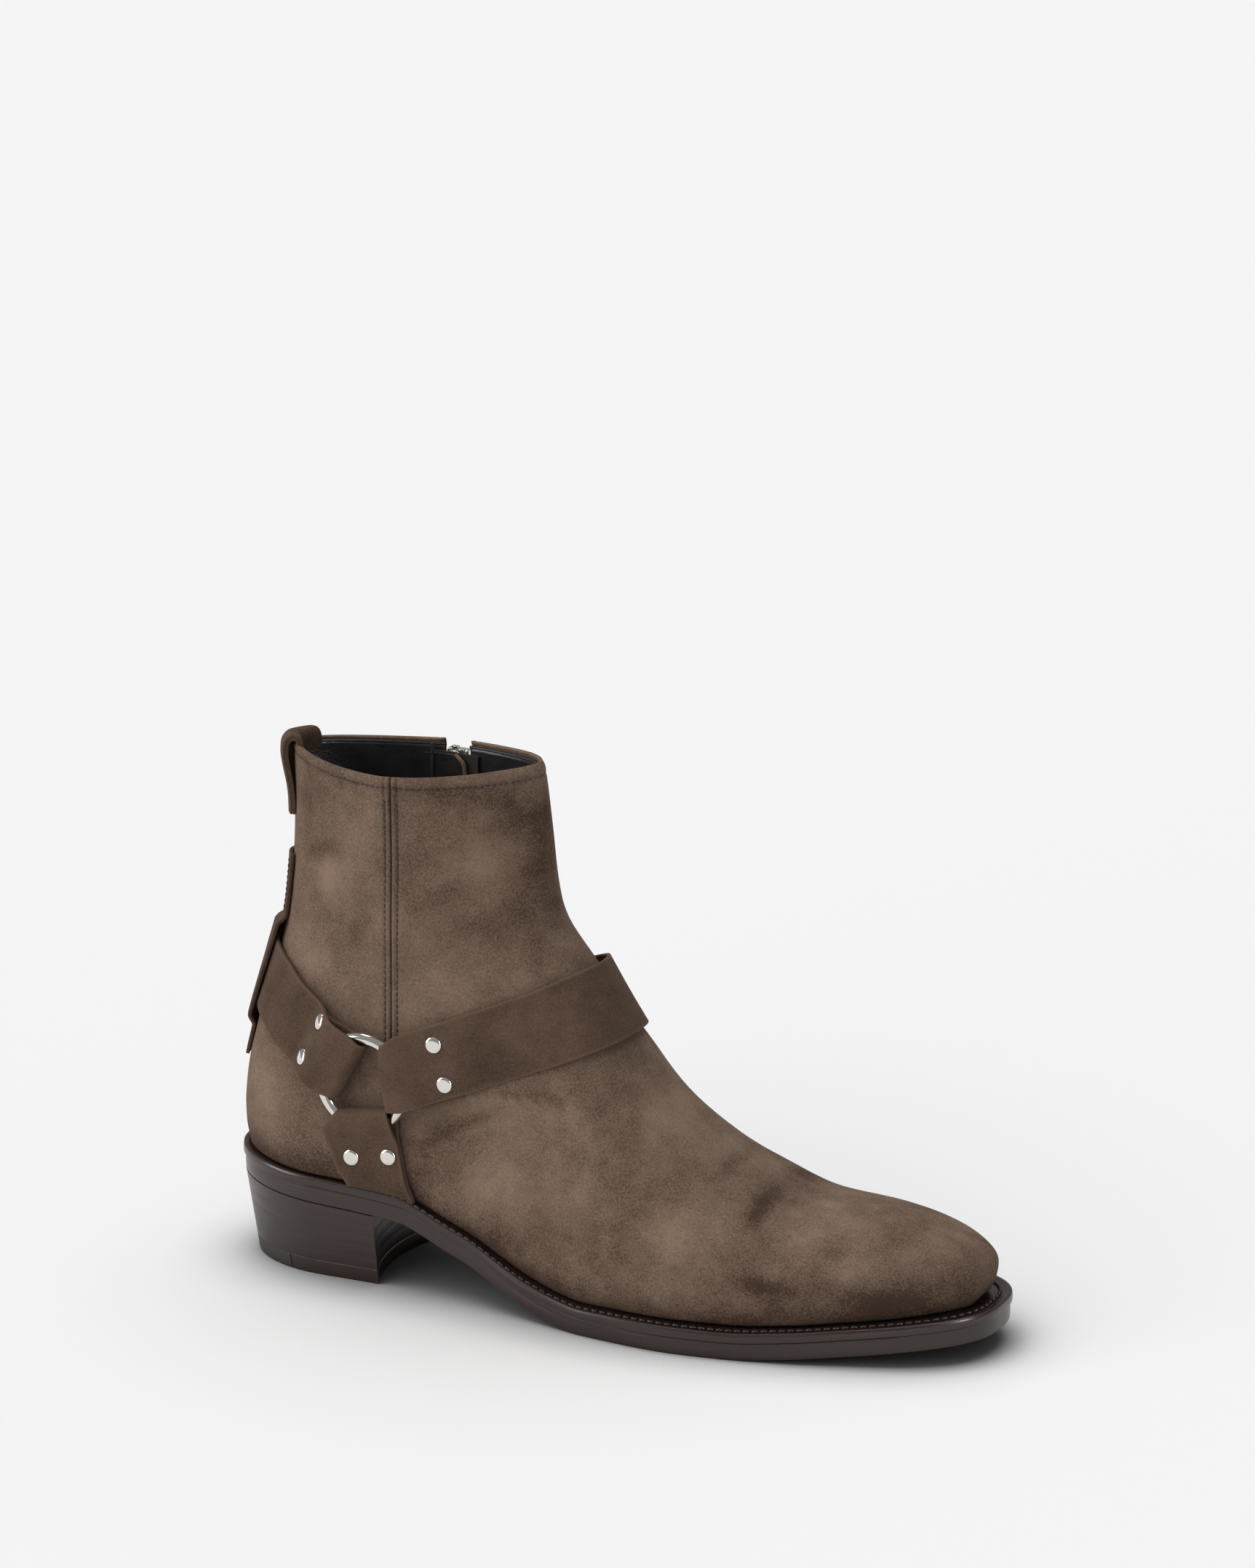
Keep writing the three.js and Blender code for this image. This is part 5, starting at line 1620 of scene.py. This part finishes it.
class OBJECT_OT_boot_zip(bpy.types.Operator):
    """Set the zip into its slot: woven tape, two rows of teeth, slider and pull, and the guard behind"""

    bl_idname = "object.boot_zip"
    bl_label = "Zip"

    def execute(self, context):
        nickel = polished_nickel("Polished nickel zip", 0.16)
        tape = laid_grid("zip_tape_weave", zip_sheet(SLOT_BOTTOM - 6, 4.4, -10.5, 10.5, 120, 31, TAPE_FACE))
        thicken(tape, 0.8)
        smooth_faces(tape, 60)
        settle(tape, woven_tape("Woven polyester tape", "4a3d34"), "boot", "zip_fabric", "zip_tape")

        guard_face = TAPE_FACE - 1.0 - GAP - 0.15

        def guard_edge(z):
            top = COLLAR_HEIGHT - 5.0
            return 6.4 - 4.6 * smooth((z - top + 5) / 5) - 1.8 * smooth((z - top + 24) / 24)

        guard = laid_grid(
            "zip_guard_flap", zip_sheet(SLOT_BOTTOM - 8, 4.9, -13, 9.5, 110, 34, guard_face, guard_edge)
        )
        thicken(guard, 1.1)
        smooth_faces(guard, 60)
        leather = smooth_leather("Black guard leather", colours().lining, 0.36)
        settle(guard, leather, "boot", "lining_leather", "zip_guard")
        z = np.linspace(SLOT_BOTTOM - 7, COLLAR_HEIGHT - 6.2, 110)
        point, normal = on_side(ZIP_X + guard_edge(z), z, 1)
        binding = edge_tube("zip_guard_binding", point + normal * (guard_face - 0.55), normal, 0.8)
        edge = brushed_suede("Suede binding", colours().suede_light, colours().suede_dark, attribute=False)
        settle(binding, edge, "boot", "suede")
        z = np.linspace(SLOT_BOTTOM - 7, COLLAR_HEIGHT - 2.4, 110)
        point, normal = on_side(ZIP_X - 9.8, z, 1)
        fold = edge_tube("lining_fold", point + normal * (guard_face - 1.5), normal, 0.6)
        settle(fold, smooth_leather("Navy folded leather", colours().piping, 0.5), "boot", "lining_leather")

        pitch = sizes().tooth_pitch
        bottom = SLOT_BOTTOM + 2.0
        top = COLLAR_HEIGHT - 3.5
        frames = []
        for row, sign in ((0.0, -1), (0.5, 1)):
            z = np.arange(bottom + row * pitch, top, pitch)
            point, normal = on_side(np.full(len(z), ZIP_X), z, 1)
            above, _ = on_side(np.full(len(z), ZIP_X), z + 1, 1)
            up = unit(above - point)
            x = unit(np.cross(up, normal))
            seat = point + normal * (CHAIN_SEAT + CHAIN_THICKNESS / 2)
            frames += [(p, sign * a, b, c) for p, a, b, c in zip(seat, x, up, normal)]
        deselect()
        bpy.ops.mesh.primitive_cube_add(size=1)
        tooth = bpy.context.object
        bpy.ops.object.mode_set(mode="EDIT")
        bpy.ops.transform.resize(value=(2.9, pitch * 0.47, CHAIN_THICKNESS * 0.92))
        bpy.ops.transform.translate(value=(-1.15, 0, 0))
        bpy.ops.mesh.bevel(offset=0.22, segments=1)
        bpy.ops.object.mode_set(mode="OBJECT")
        teeth = joined_copies("zip_teeth", tooth, frames)
        activate(teeth)
        bpy.ops.object.mode_set(mode="EDIT")
        bpy.ops.mesh.select_all(action="SELECT")
        bpy.ops.mesh.normals_make_consistent(inside=False)
        bpy.ops.object.mode_set(mode="OBJECT")
        smooth_faces(teeth, 40)
        settle(teeth, nickel, "boot", "zip_metal", "zip_chain")

        for node, body, rounding in (("zip_slider", "boot", 0.32), ("zip_pull", "pull_tab", 0.2)):
            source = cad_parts[node]
            piece = source.copy()
            piece.data = source.data.copy()
            piece.name = node + "_cast"
            piece.data.name = piece.name
            piece.parent = None
            for key in list(piece.keys()):
                del piece[key]
            bpy.context.scene.collection.objects.link(piece)
            merge_doubles(piece)
            bpy.ops.object.mode_set(mode="EDIT")
            bpy.ops.mesh.select_all(action="SELECT")
            bpy.ops.mesh.dissolve_limited(angle_limit=math.radians(2))
            bpy.ops.object.mode_set(mode="OBJECT")
            bevel = piece.modifiers.new("rounding", "BEVEL")
            bevel.width = rounding * MM
            bevel.segments = 2
            bevel.limit_method = "ANGLE"
            bpy.ops.object.modifier_apply(modifier=bevel.name)
            smooth_faces(piece, 35)
            settle(piece, nickel, body, "zip_metal", node)
        return {"FINISHED"}


# The sole and the heel


STATIONS = 480
WELT_PATH_POINTS = 1600
WELT_THREAD = 1.35
SOLE_INSET = 0.8  # how far the sole's outside lies inside its widest outline


def shrunk(loop, share):
    """A sole loop drawn together across its width, about the line midway between its two sides."""
    n = len(loop)
    mirror = loop[(n - np.arange(n)) % n]
    middle = (loop[:, 1] + mirror[:, 1]) / 2
    inner = loop.copy()
    inner[:, 1] = mix(middle, loop[:, 1], share)
    return inner


class OBJECT_OT_boot_sole(bpy.types.Operator):
    """Build the leather outsole and the welt with its worn edge, groove and row of stitches"""

    bl_idname = "object.boot_sole"
    bl_label = "Sole and welt"

    def execute(self, context):
        edge = waxed_edge("Waxed sole edge", colours().sole, "6a5a52", 0.27)

        def top(x):
            return welt_bottom(x) - GAP

        rows = []
        bottom = outline_loop(STATIONS, SOLE_INSET + 0.3, underside)
        for share in (0, 0.25, 0.5, 0.75, 0.9, 0.985, 1):
            rows.append(shrunk(bottom, share))
        for step, up in ((0.1, 0.1), (0.0, 0.35), (-0.06, 1.4), (-0.1, 2.6), (-0.08, 4.0), (0.0, 5.2)):
            rows.append(outline_loop(STATIONS, SOLE_INSET + step, lambda x: underside(x) + up))
        for step, drop in ((0.0, 0.4), (0.02, 0.08), (0.12, 0.0)):
            rows.append(outline_loop(STATIONS, SOLE_INSET + step, lambda x: top(x) - drop))
        crown = outline_loop(STATIONS, SOLE_INSET + 0.7, top)
        for share in (0.9, 0.5, 0):
            rows.append(shrunk(crown, share))
        outsole = laid_grid("outsole_leather", np.array(rows), wraps=True)
        smooth_faces(outsole, 50)
        settle(outsole, edge, "boot", "sole_leather", "outsole")

        # The welt's section: distance in from the edge, share of its thickness, and height above that
        profile = [
            (WELT_WIDTH, 0.0, 0.0),
            (3.0, 0.0, 0.0),
            (0.5, 0.0, 0.0),
            (0.12, 0.0, 0.02),
            (0.03, 0.0, 0.1),
            (0.0, 0.0, 0.4),
            (0.0, 0.0, 1.6),
            (0.04, 0.0, 2.4),
            (0.14, 1.0, -0.62),
            (0.36, 1.0, -0.26),
            (0.75, 1.0, -0.06),
            (1.2, 1.0, 0.0),
            (1.7, 1.0, -0.08),
            (2.3, 1.0, -0.3),
            (2.9, 1.0, -0.52),
            (3.6, 1.0, -0.6),
            (5.0, 1.0, -0.5),
            (8.0, 1.0, -0.3),
            (WELT_WIDTH, 1.0, -0.2),
            (WELT_WIDTH, 0.0, 0.0),
        ]
        rows = [
            outline_loop(STATIONS, inset, lambda x: welt_bottom(x) + from_top * WELT_THICKNESS + up)
            for inset, from_top, up in profile
        ]
        welt = laid_grid("welt_leather", np.array(rows), wraps=True)
        merge_doubles(welt)
        smooth_faces(welt, 50)
        settle(welt, edge, "boot", "welt_leather", "welt")

        # The welt's stitches run beside the upper, from the front of the heel round the toe and back
        fine = outline_loop(WELT_PATH_POINTS, 0.0, welt_top)
        share = fine[:, 0] / SOLE_LENGTH
        away = margin_curve(share) - 0.2
        inner = outline_loop(WELT_PATH_POINTS, 1.0, welt_top)
        step = unit(inner - fine)
        line = fine + step * away[:, None]
        line[:, 2] = welt_top(line[:, 0]) - 0.15
        path = line[line[:, 0] > HEEL_LENGTH - 9]
        normals = np.tile(UP, (len(path), 1))
        pitch = sizes().welt_pitch
        row = stitches("welt_stitches", [(path, normals)], pitch, pitch * 0.74, WELT_THREAD, 0.0)
        settle(row, plain("Waxed linen thread", "30241f", 0.42, 0.0004, 0.5), "boot", "welt_leather")

        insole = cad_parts["insole"]
        insole.data.materials.clear()
        insole.data.materials.append(smooth_leather("Black insole leather", colours().lining, 0.5))
        return {"FINISHED"}


HEEL_HALF_WIDTH = 0.35 * BALL_WIDTH
HEEL_FIT = 0.985  # the heel's top against the sole's outline
HEEL_SET_BACK = 0.8
LIFT_LINE = 0.012  # half a line between two lifts, as a share of the heel's height


def heel_loop(up_share, height, start, end, inset):
    """A level loop of the heel at a share of the way up: round its back, then across its breast."""
    grow = 1 - up_share
    k = np.linspace(0, 1, 91)
    along = mix(start, end, 1 - np.cos(np.pi / 2 * k))

    def flank(side):
        taper = 1 - HEEL_SIDE_TAPER * grow / HEEL_HALF_WIDTH
        y = side * half_width(np.maximum(along, 1e-3), side, inset) * taper * HEEL_FIT
        x = along + HEEL_UNDERCUT * grow * (1 - along / HEEL_LENGTH) + HEEL_SET_BACK
        x = np.minimum(x, x[-1] - inset * (along > end - 1))
        return np.stack([x, y + centre_line(x), 0 * x], axis=1)

    outer = flank(-1)
    inner = flank(1)[::-1]
    b = np.linspace(0, 1, 30)[1:-1, None]
    across = outer[-1] + (inner[0] - outer[-1]) * b
    if end > HEEL_LENGTH - 1:
        across[:, 0] -= BREAST_HOLLOW * 4 * b[:, 0] * (1 - b[:, 0])
    loop = np.concatenate([outer, across, inner])
    loop[:, 2] = height(loop[:, 0])
    return loop


class OBJECT_OT_boot_heel(bpy.types.Operator):
    """Stack the heel's leather lifts and finish it with its lowest layer and rubber back"""

    bl_idname = "object.boot_heel"
    bl_label = "Heel"

    def execute(self, context):
        edge = waxed_edge("Waxed heel edge", colours().sole, "5e4f47", 0.32)
        share = LIFT_THICKNESS / HEEL_HEIGHT
        count = sizes().heel_lifts
        rows = []

        def level(k):
            return lambda x: mix(LIFT_THICKNESS + 0.05, underside(x) - 0.05, k)

        for lift in range(count):
            low = lift / count
            high = (lift + 1) / count
            for k, inset in (
                (low, 0.04),
                (low + LIFT_LINE, 0.01),
                (mix(low, high, 0.5), 0.0),
                (high - LIFT_LINE, 0.01),
            ):
                rows.append(heel_loop(mix(share, 1, k), level(k), 0, HEEL_LENGTH, inset))
        rows.append(heel_loop(1, level(1), 0, HEEL_LENGTH, 0.03))
        stack = laid_grid("heel_stack_leather", np.array(rows), wraps=True)
        close_rims(stack)
        smooth_faces(stack, 40)
        settle(stack, edge, "boot", "heel_leather", "heel_stack")

        def low_layer(name, start, end):
            rows = []
            for up, inset in (
                (0, 0.35), (0.3, 0.08), (0.8, 0.0), (3, 0.0), (5.3, 0.0), (5.8, 0.05), (LIFT_THICKNESS, 0.25)
            ):
                rows.append(heel_loop(share * up / LIFT_THICKNESS, lambda x: 0 * x + up, start, end, inset))
            piece = laid_grid(name, np.array(rows), wraps=True)
            close_rims(piece)
            smooth_faces(piece, 40)
            return piece

        lift = low_layer("heel_lift_leather", RUBBER_LENGTH + TIP_JOINT, HEEL_LENGTH)
        settle(lift, edge, "boot", "heel_leather", "heel_lift")
        rubber = low_layer("heel_tip_rubber", 0, RUBBER_LENGTH)
        black = plain("Black moulded rubber", "2b2924", 0.55, 0.0006, 0.3)
        settle(rubber, black, "boot", "heel_rubber", "heel_tip")
        return {"FINISHED"}


# The camera, the floor and the light


PHOTO_WIDTH = 1725
PHOTO_HEIGHT = 2156
CAMERA_AZIMUTH = math.radians(24.997)
CAMERA_ELEVATION = math.radians(19.005)
CAMERA_DISTANCE = 2400.0
CAMERA_TARGET = np.array([150.0, 0.0, 80.0])
PIXELS_PER_MM = 3.74  # at the target
TARGET_PIXEL = (841.5, 1496.4)
SENSOR_WIDTH = 36.0
SKY_SEEN = 0.91  # the floor's tone in the picture, as linear light


class OBJECT_OT_boot_studio(bpy.types.Operator):
    """Stand the boot on a pale floor with a painted contact shadow, in soft light, seen as the photograph
    sees it
    """

    bl_idname = "object.boot_studio"
    bl_label = "Studio"

    def execute(self, context):
        scene = context.scene
        back = np.array([
            math.sin(CAMERA_AZIMUTH) * math.cos(CAMERA_ELEVATION),
            -math.cos(CAMERA_AZIMUTH) * math.cos(CAMERA_ELEVATION),
            math.sin(CAMERA_ELEVATION),
        ])
        deselect()
        bpy.ops.object.camera_add()
        camera = context.object
        camera.name = "photo_camera"
        right = unit(np.cross(UP, back))
        upward = np.cross(back, right)
        place = Matrix(np.stack([right, upward, back], axis=1).tolist()).to_4x4()
        place.translation = Vector(to_frame(CAMERA_TARGET + back * CAMERA_DISTANCE))
        camera.matrix_world = place
        camera.data.sensor_fit = "HORIZONTAL"
        camera.data.sensor_width = SENSOR_WIDTH
        camera.data.lens = SENSOR_WIDTH * PIXELS_PER_MM * CAMERA_DISTANCE / PHOTO_WIDTH
        camera.data.shift_x = (PHOTO_WIDTH / 2 - TARGET_PIXEL[0]) / PHOTO_WIDTH
        camera.data.shift_y = (TARGET_PIXEL[1] - PHOTO_HEIGHT / 2) / PHOTO_WIDTH
        camera.data.clip_end = 60
        scene.camera = camera

        bpy.ops.mesh.primitive_plane_add(size=30, location=(0, 0, 0))
        floor = context.object
        floor.name = "floor"
        floor_with_painted_shadow, tree, shader, _, _ = new_material("Pale floor paper with painted shadow")
        # Painted contact shadow: the floor's colour darkens where ambient occlusion finds the boot close by
        near = add_node(tree, "ShaderNodeAmbientOcclusion", {"Distance": 0.045}, samples=16)
        shade = add_node(
            tree,
            "ShaderNodeMapRange",
            {"Value": near.outputs["AO"], "From Min": 0.25, "From Max": 0.95, "To Min": 0.3, "To Max": 1.0},
            interpolation_type="SMOOTHSTEP",
        )
        tone = add_node(
            tree,
            "ShaderNodeVectorMath",
            {0: linear(scene.boot_studio.floor)[:3], "Scale": shade.outputs["Result"]},
            operation="SCALE",
        )
        fill(tree, shader, {
            "Base Color": tone.outputs["Vector"],
            "Roughness": 1.0,
            "Specular IOR Level": 0.0,
        })
        floor.data.materials.append(floor_with_painted_shadow)

        world = bpy.data.worlds.new("Soft studio")
        world.use_nodes = True
        # The sky gives a grey light, and is as pale as the floor where it is seen
        seen = add_node(world.node_tree, "ShaderNodeLightPath")
        strength = add_node(
            world.node_tree,
            "ShaderNodeMapRange",
            {"Value": seen.outputs["Is Camera Ray"], "To Min": scene.boot_studio.sky, "To Max": SKY_SEEN},
        )
        background = world.node_tree.nodes["Background"]
        fill(world.node_tree, background, {"Color": (1, 1, 1, 1), "Strength": strength.outputs["Result"]})
        scene.world = world

        # Wide suns light the floor evenly; the soft boxes are seen in the shine alone
        def light_at(kind, name, location, aim, power):
            bpy.ops.object.light_add(type=kind, location=location)
            light = context.object
            light.name = name
            light.data.energy = power
            light.rotation_euler = (Vector(aim) - Vector(location)).to_track_quat("-Z", "Y").to_euler()
            return light

        def sun(name, towards, power, spread):
            light = light_at("SUN", name, towards, (0, 0, 0), power)
            light.data.angle = math.radians(spread)
            light.visible_glossy = False

        def soft_box(name, location, width, height, power):
            light = light_at("AREA", name, location, (0, 0, 0.06), power)
            light.data.shape = "RECTANGLE"
            light.data.size = width
            light.data.size_y = height
            light.visible_diffuse = False

        key = scene.boot_studio.key_power
        sun("key", (-0.2, 0.1, 1.0), key, 70)
        sun("front_fill", (-0.9, -1.2, 0.95), key * 0.78, 75)
        soft_box("left_box", (-1.7, -1.1, 0.75), 1.2, 1.5, 30)
        soft_box("right_box", (1.7, -0.5, 0.75), 0.45, 1.3, 22)
        soft_box("top_box", (-0.2, 0.5, 1.7), 1.3, 0.6, 16)
        scene.view_settings.view_transform = "Standard"
        scene.view_settings.look = "None"
        return {"FINISHED"}


class VIEW3D_PT_boot(bpy.types.Panel):
    """Lists the boot's sizes, colours and pieces"""

    bl_label = "Harness boot"
    bl_space_type = "VIEW_3D"
    bl_region_type = "UI"
    bl_category = "Boot"

    def draw(self, context):
        scene = context.scene
        for group in (scene.boot_sizes, scene.boot_colours, scene.boot_studio):
            box = self.layout.box()
            for name in group.bl_rna.properties.keys():
                if name not in ("rna_type", "name"):
                    box.prop(group, name)
        for operator in pieces:
            self.layout.operator(operator.bl_idname)


pieces = (
    OBJECT_OT_boot_studio,
    OBJECT_OT_boot_upper,
    OBJECT_OT_boot_lining,
    OBJECT_OT_boot_seams,
    OBJECT_OT_boot_straps,
    OBJECT_OT_boot_rings,
    OBJECT_OT_boot_rivets,
    OBJECT_OT_boot_back,
    OBJECT_OT_boot_zip,
    OBJECT_OT_boot_sole,
    OBJECT_OT_boot_heel,
)
groups = (BootSizes, BootColours, BootStudio)


def register():
    for cls in groups + pieces + (VIEW3D_PT_boot,):
        bpy.utils.register_class(cls)
    bpy.types.Scene.boot_sizes = bpy.props.PointerProperty(type=BootSizes)
    bpy.types.Scene.boot_colours = bpy.props.PointerProperty(type=BootColours)
    bpy.types.Scene.boot_studio = bpy.props.PointerProperty(type=BootStudio)


def unregister():
    for cls in (VIEW3D_PT_boot,) + pieces[::-1] + groups[::-1]:
        bpy.utils.unregister_class(cls)
    del bpy.types.Scene.boot_sizes
    del bpy.types.Scene.boot_colours
    del bpy.types.Scene.boot_studio


def main():
    register()
    for operator in pieces:
        category, name = operator.bl_idname.split(".")
        getattr(getattr(bpy.ops, category), name)()


if __name__ == "__main__":
    main()
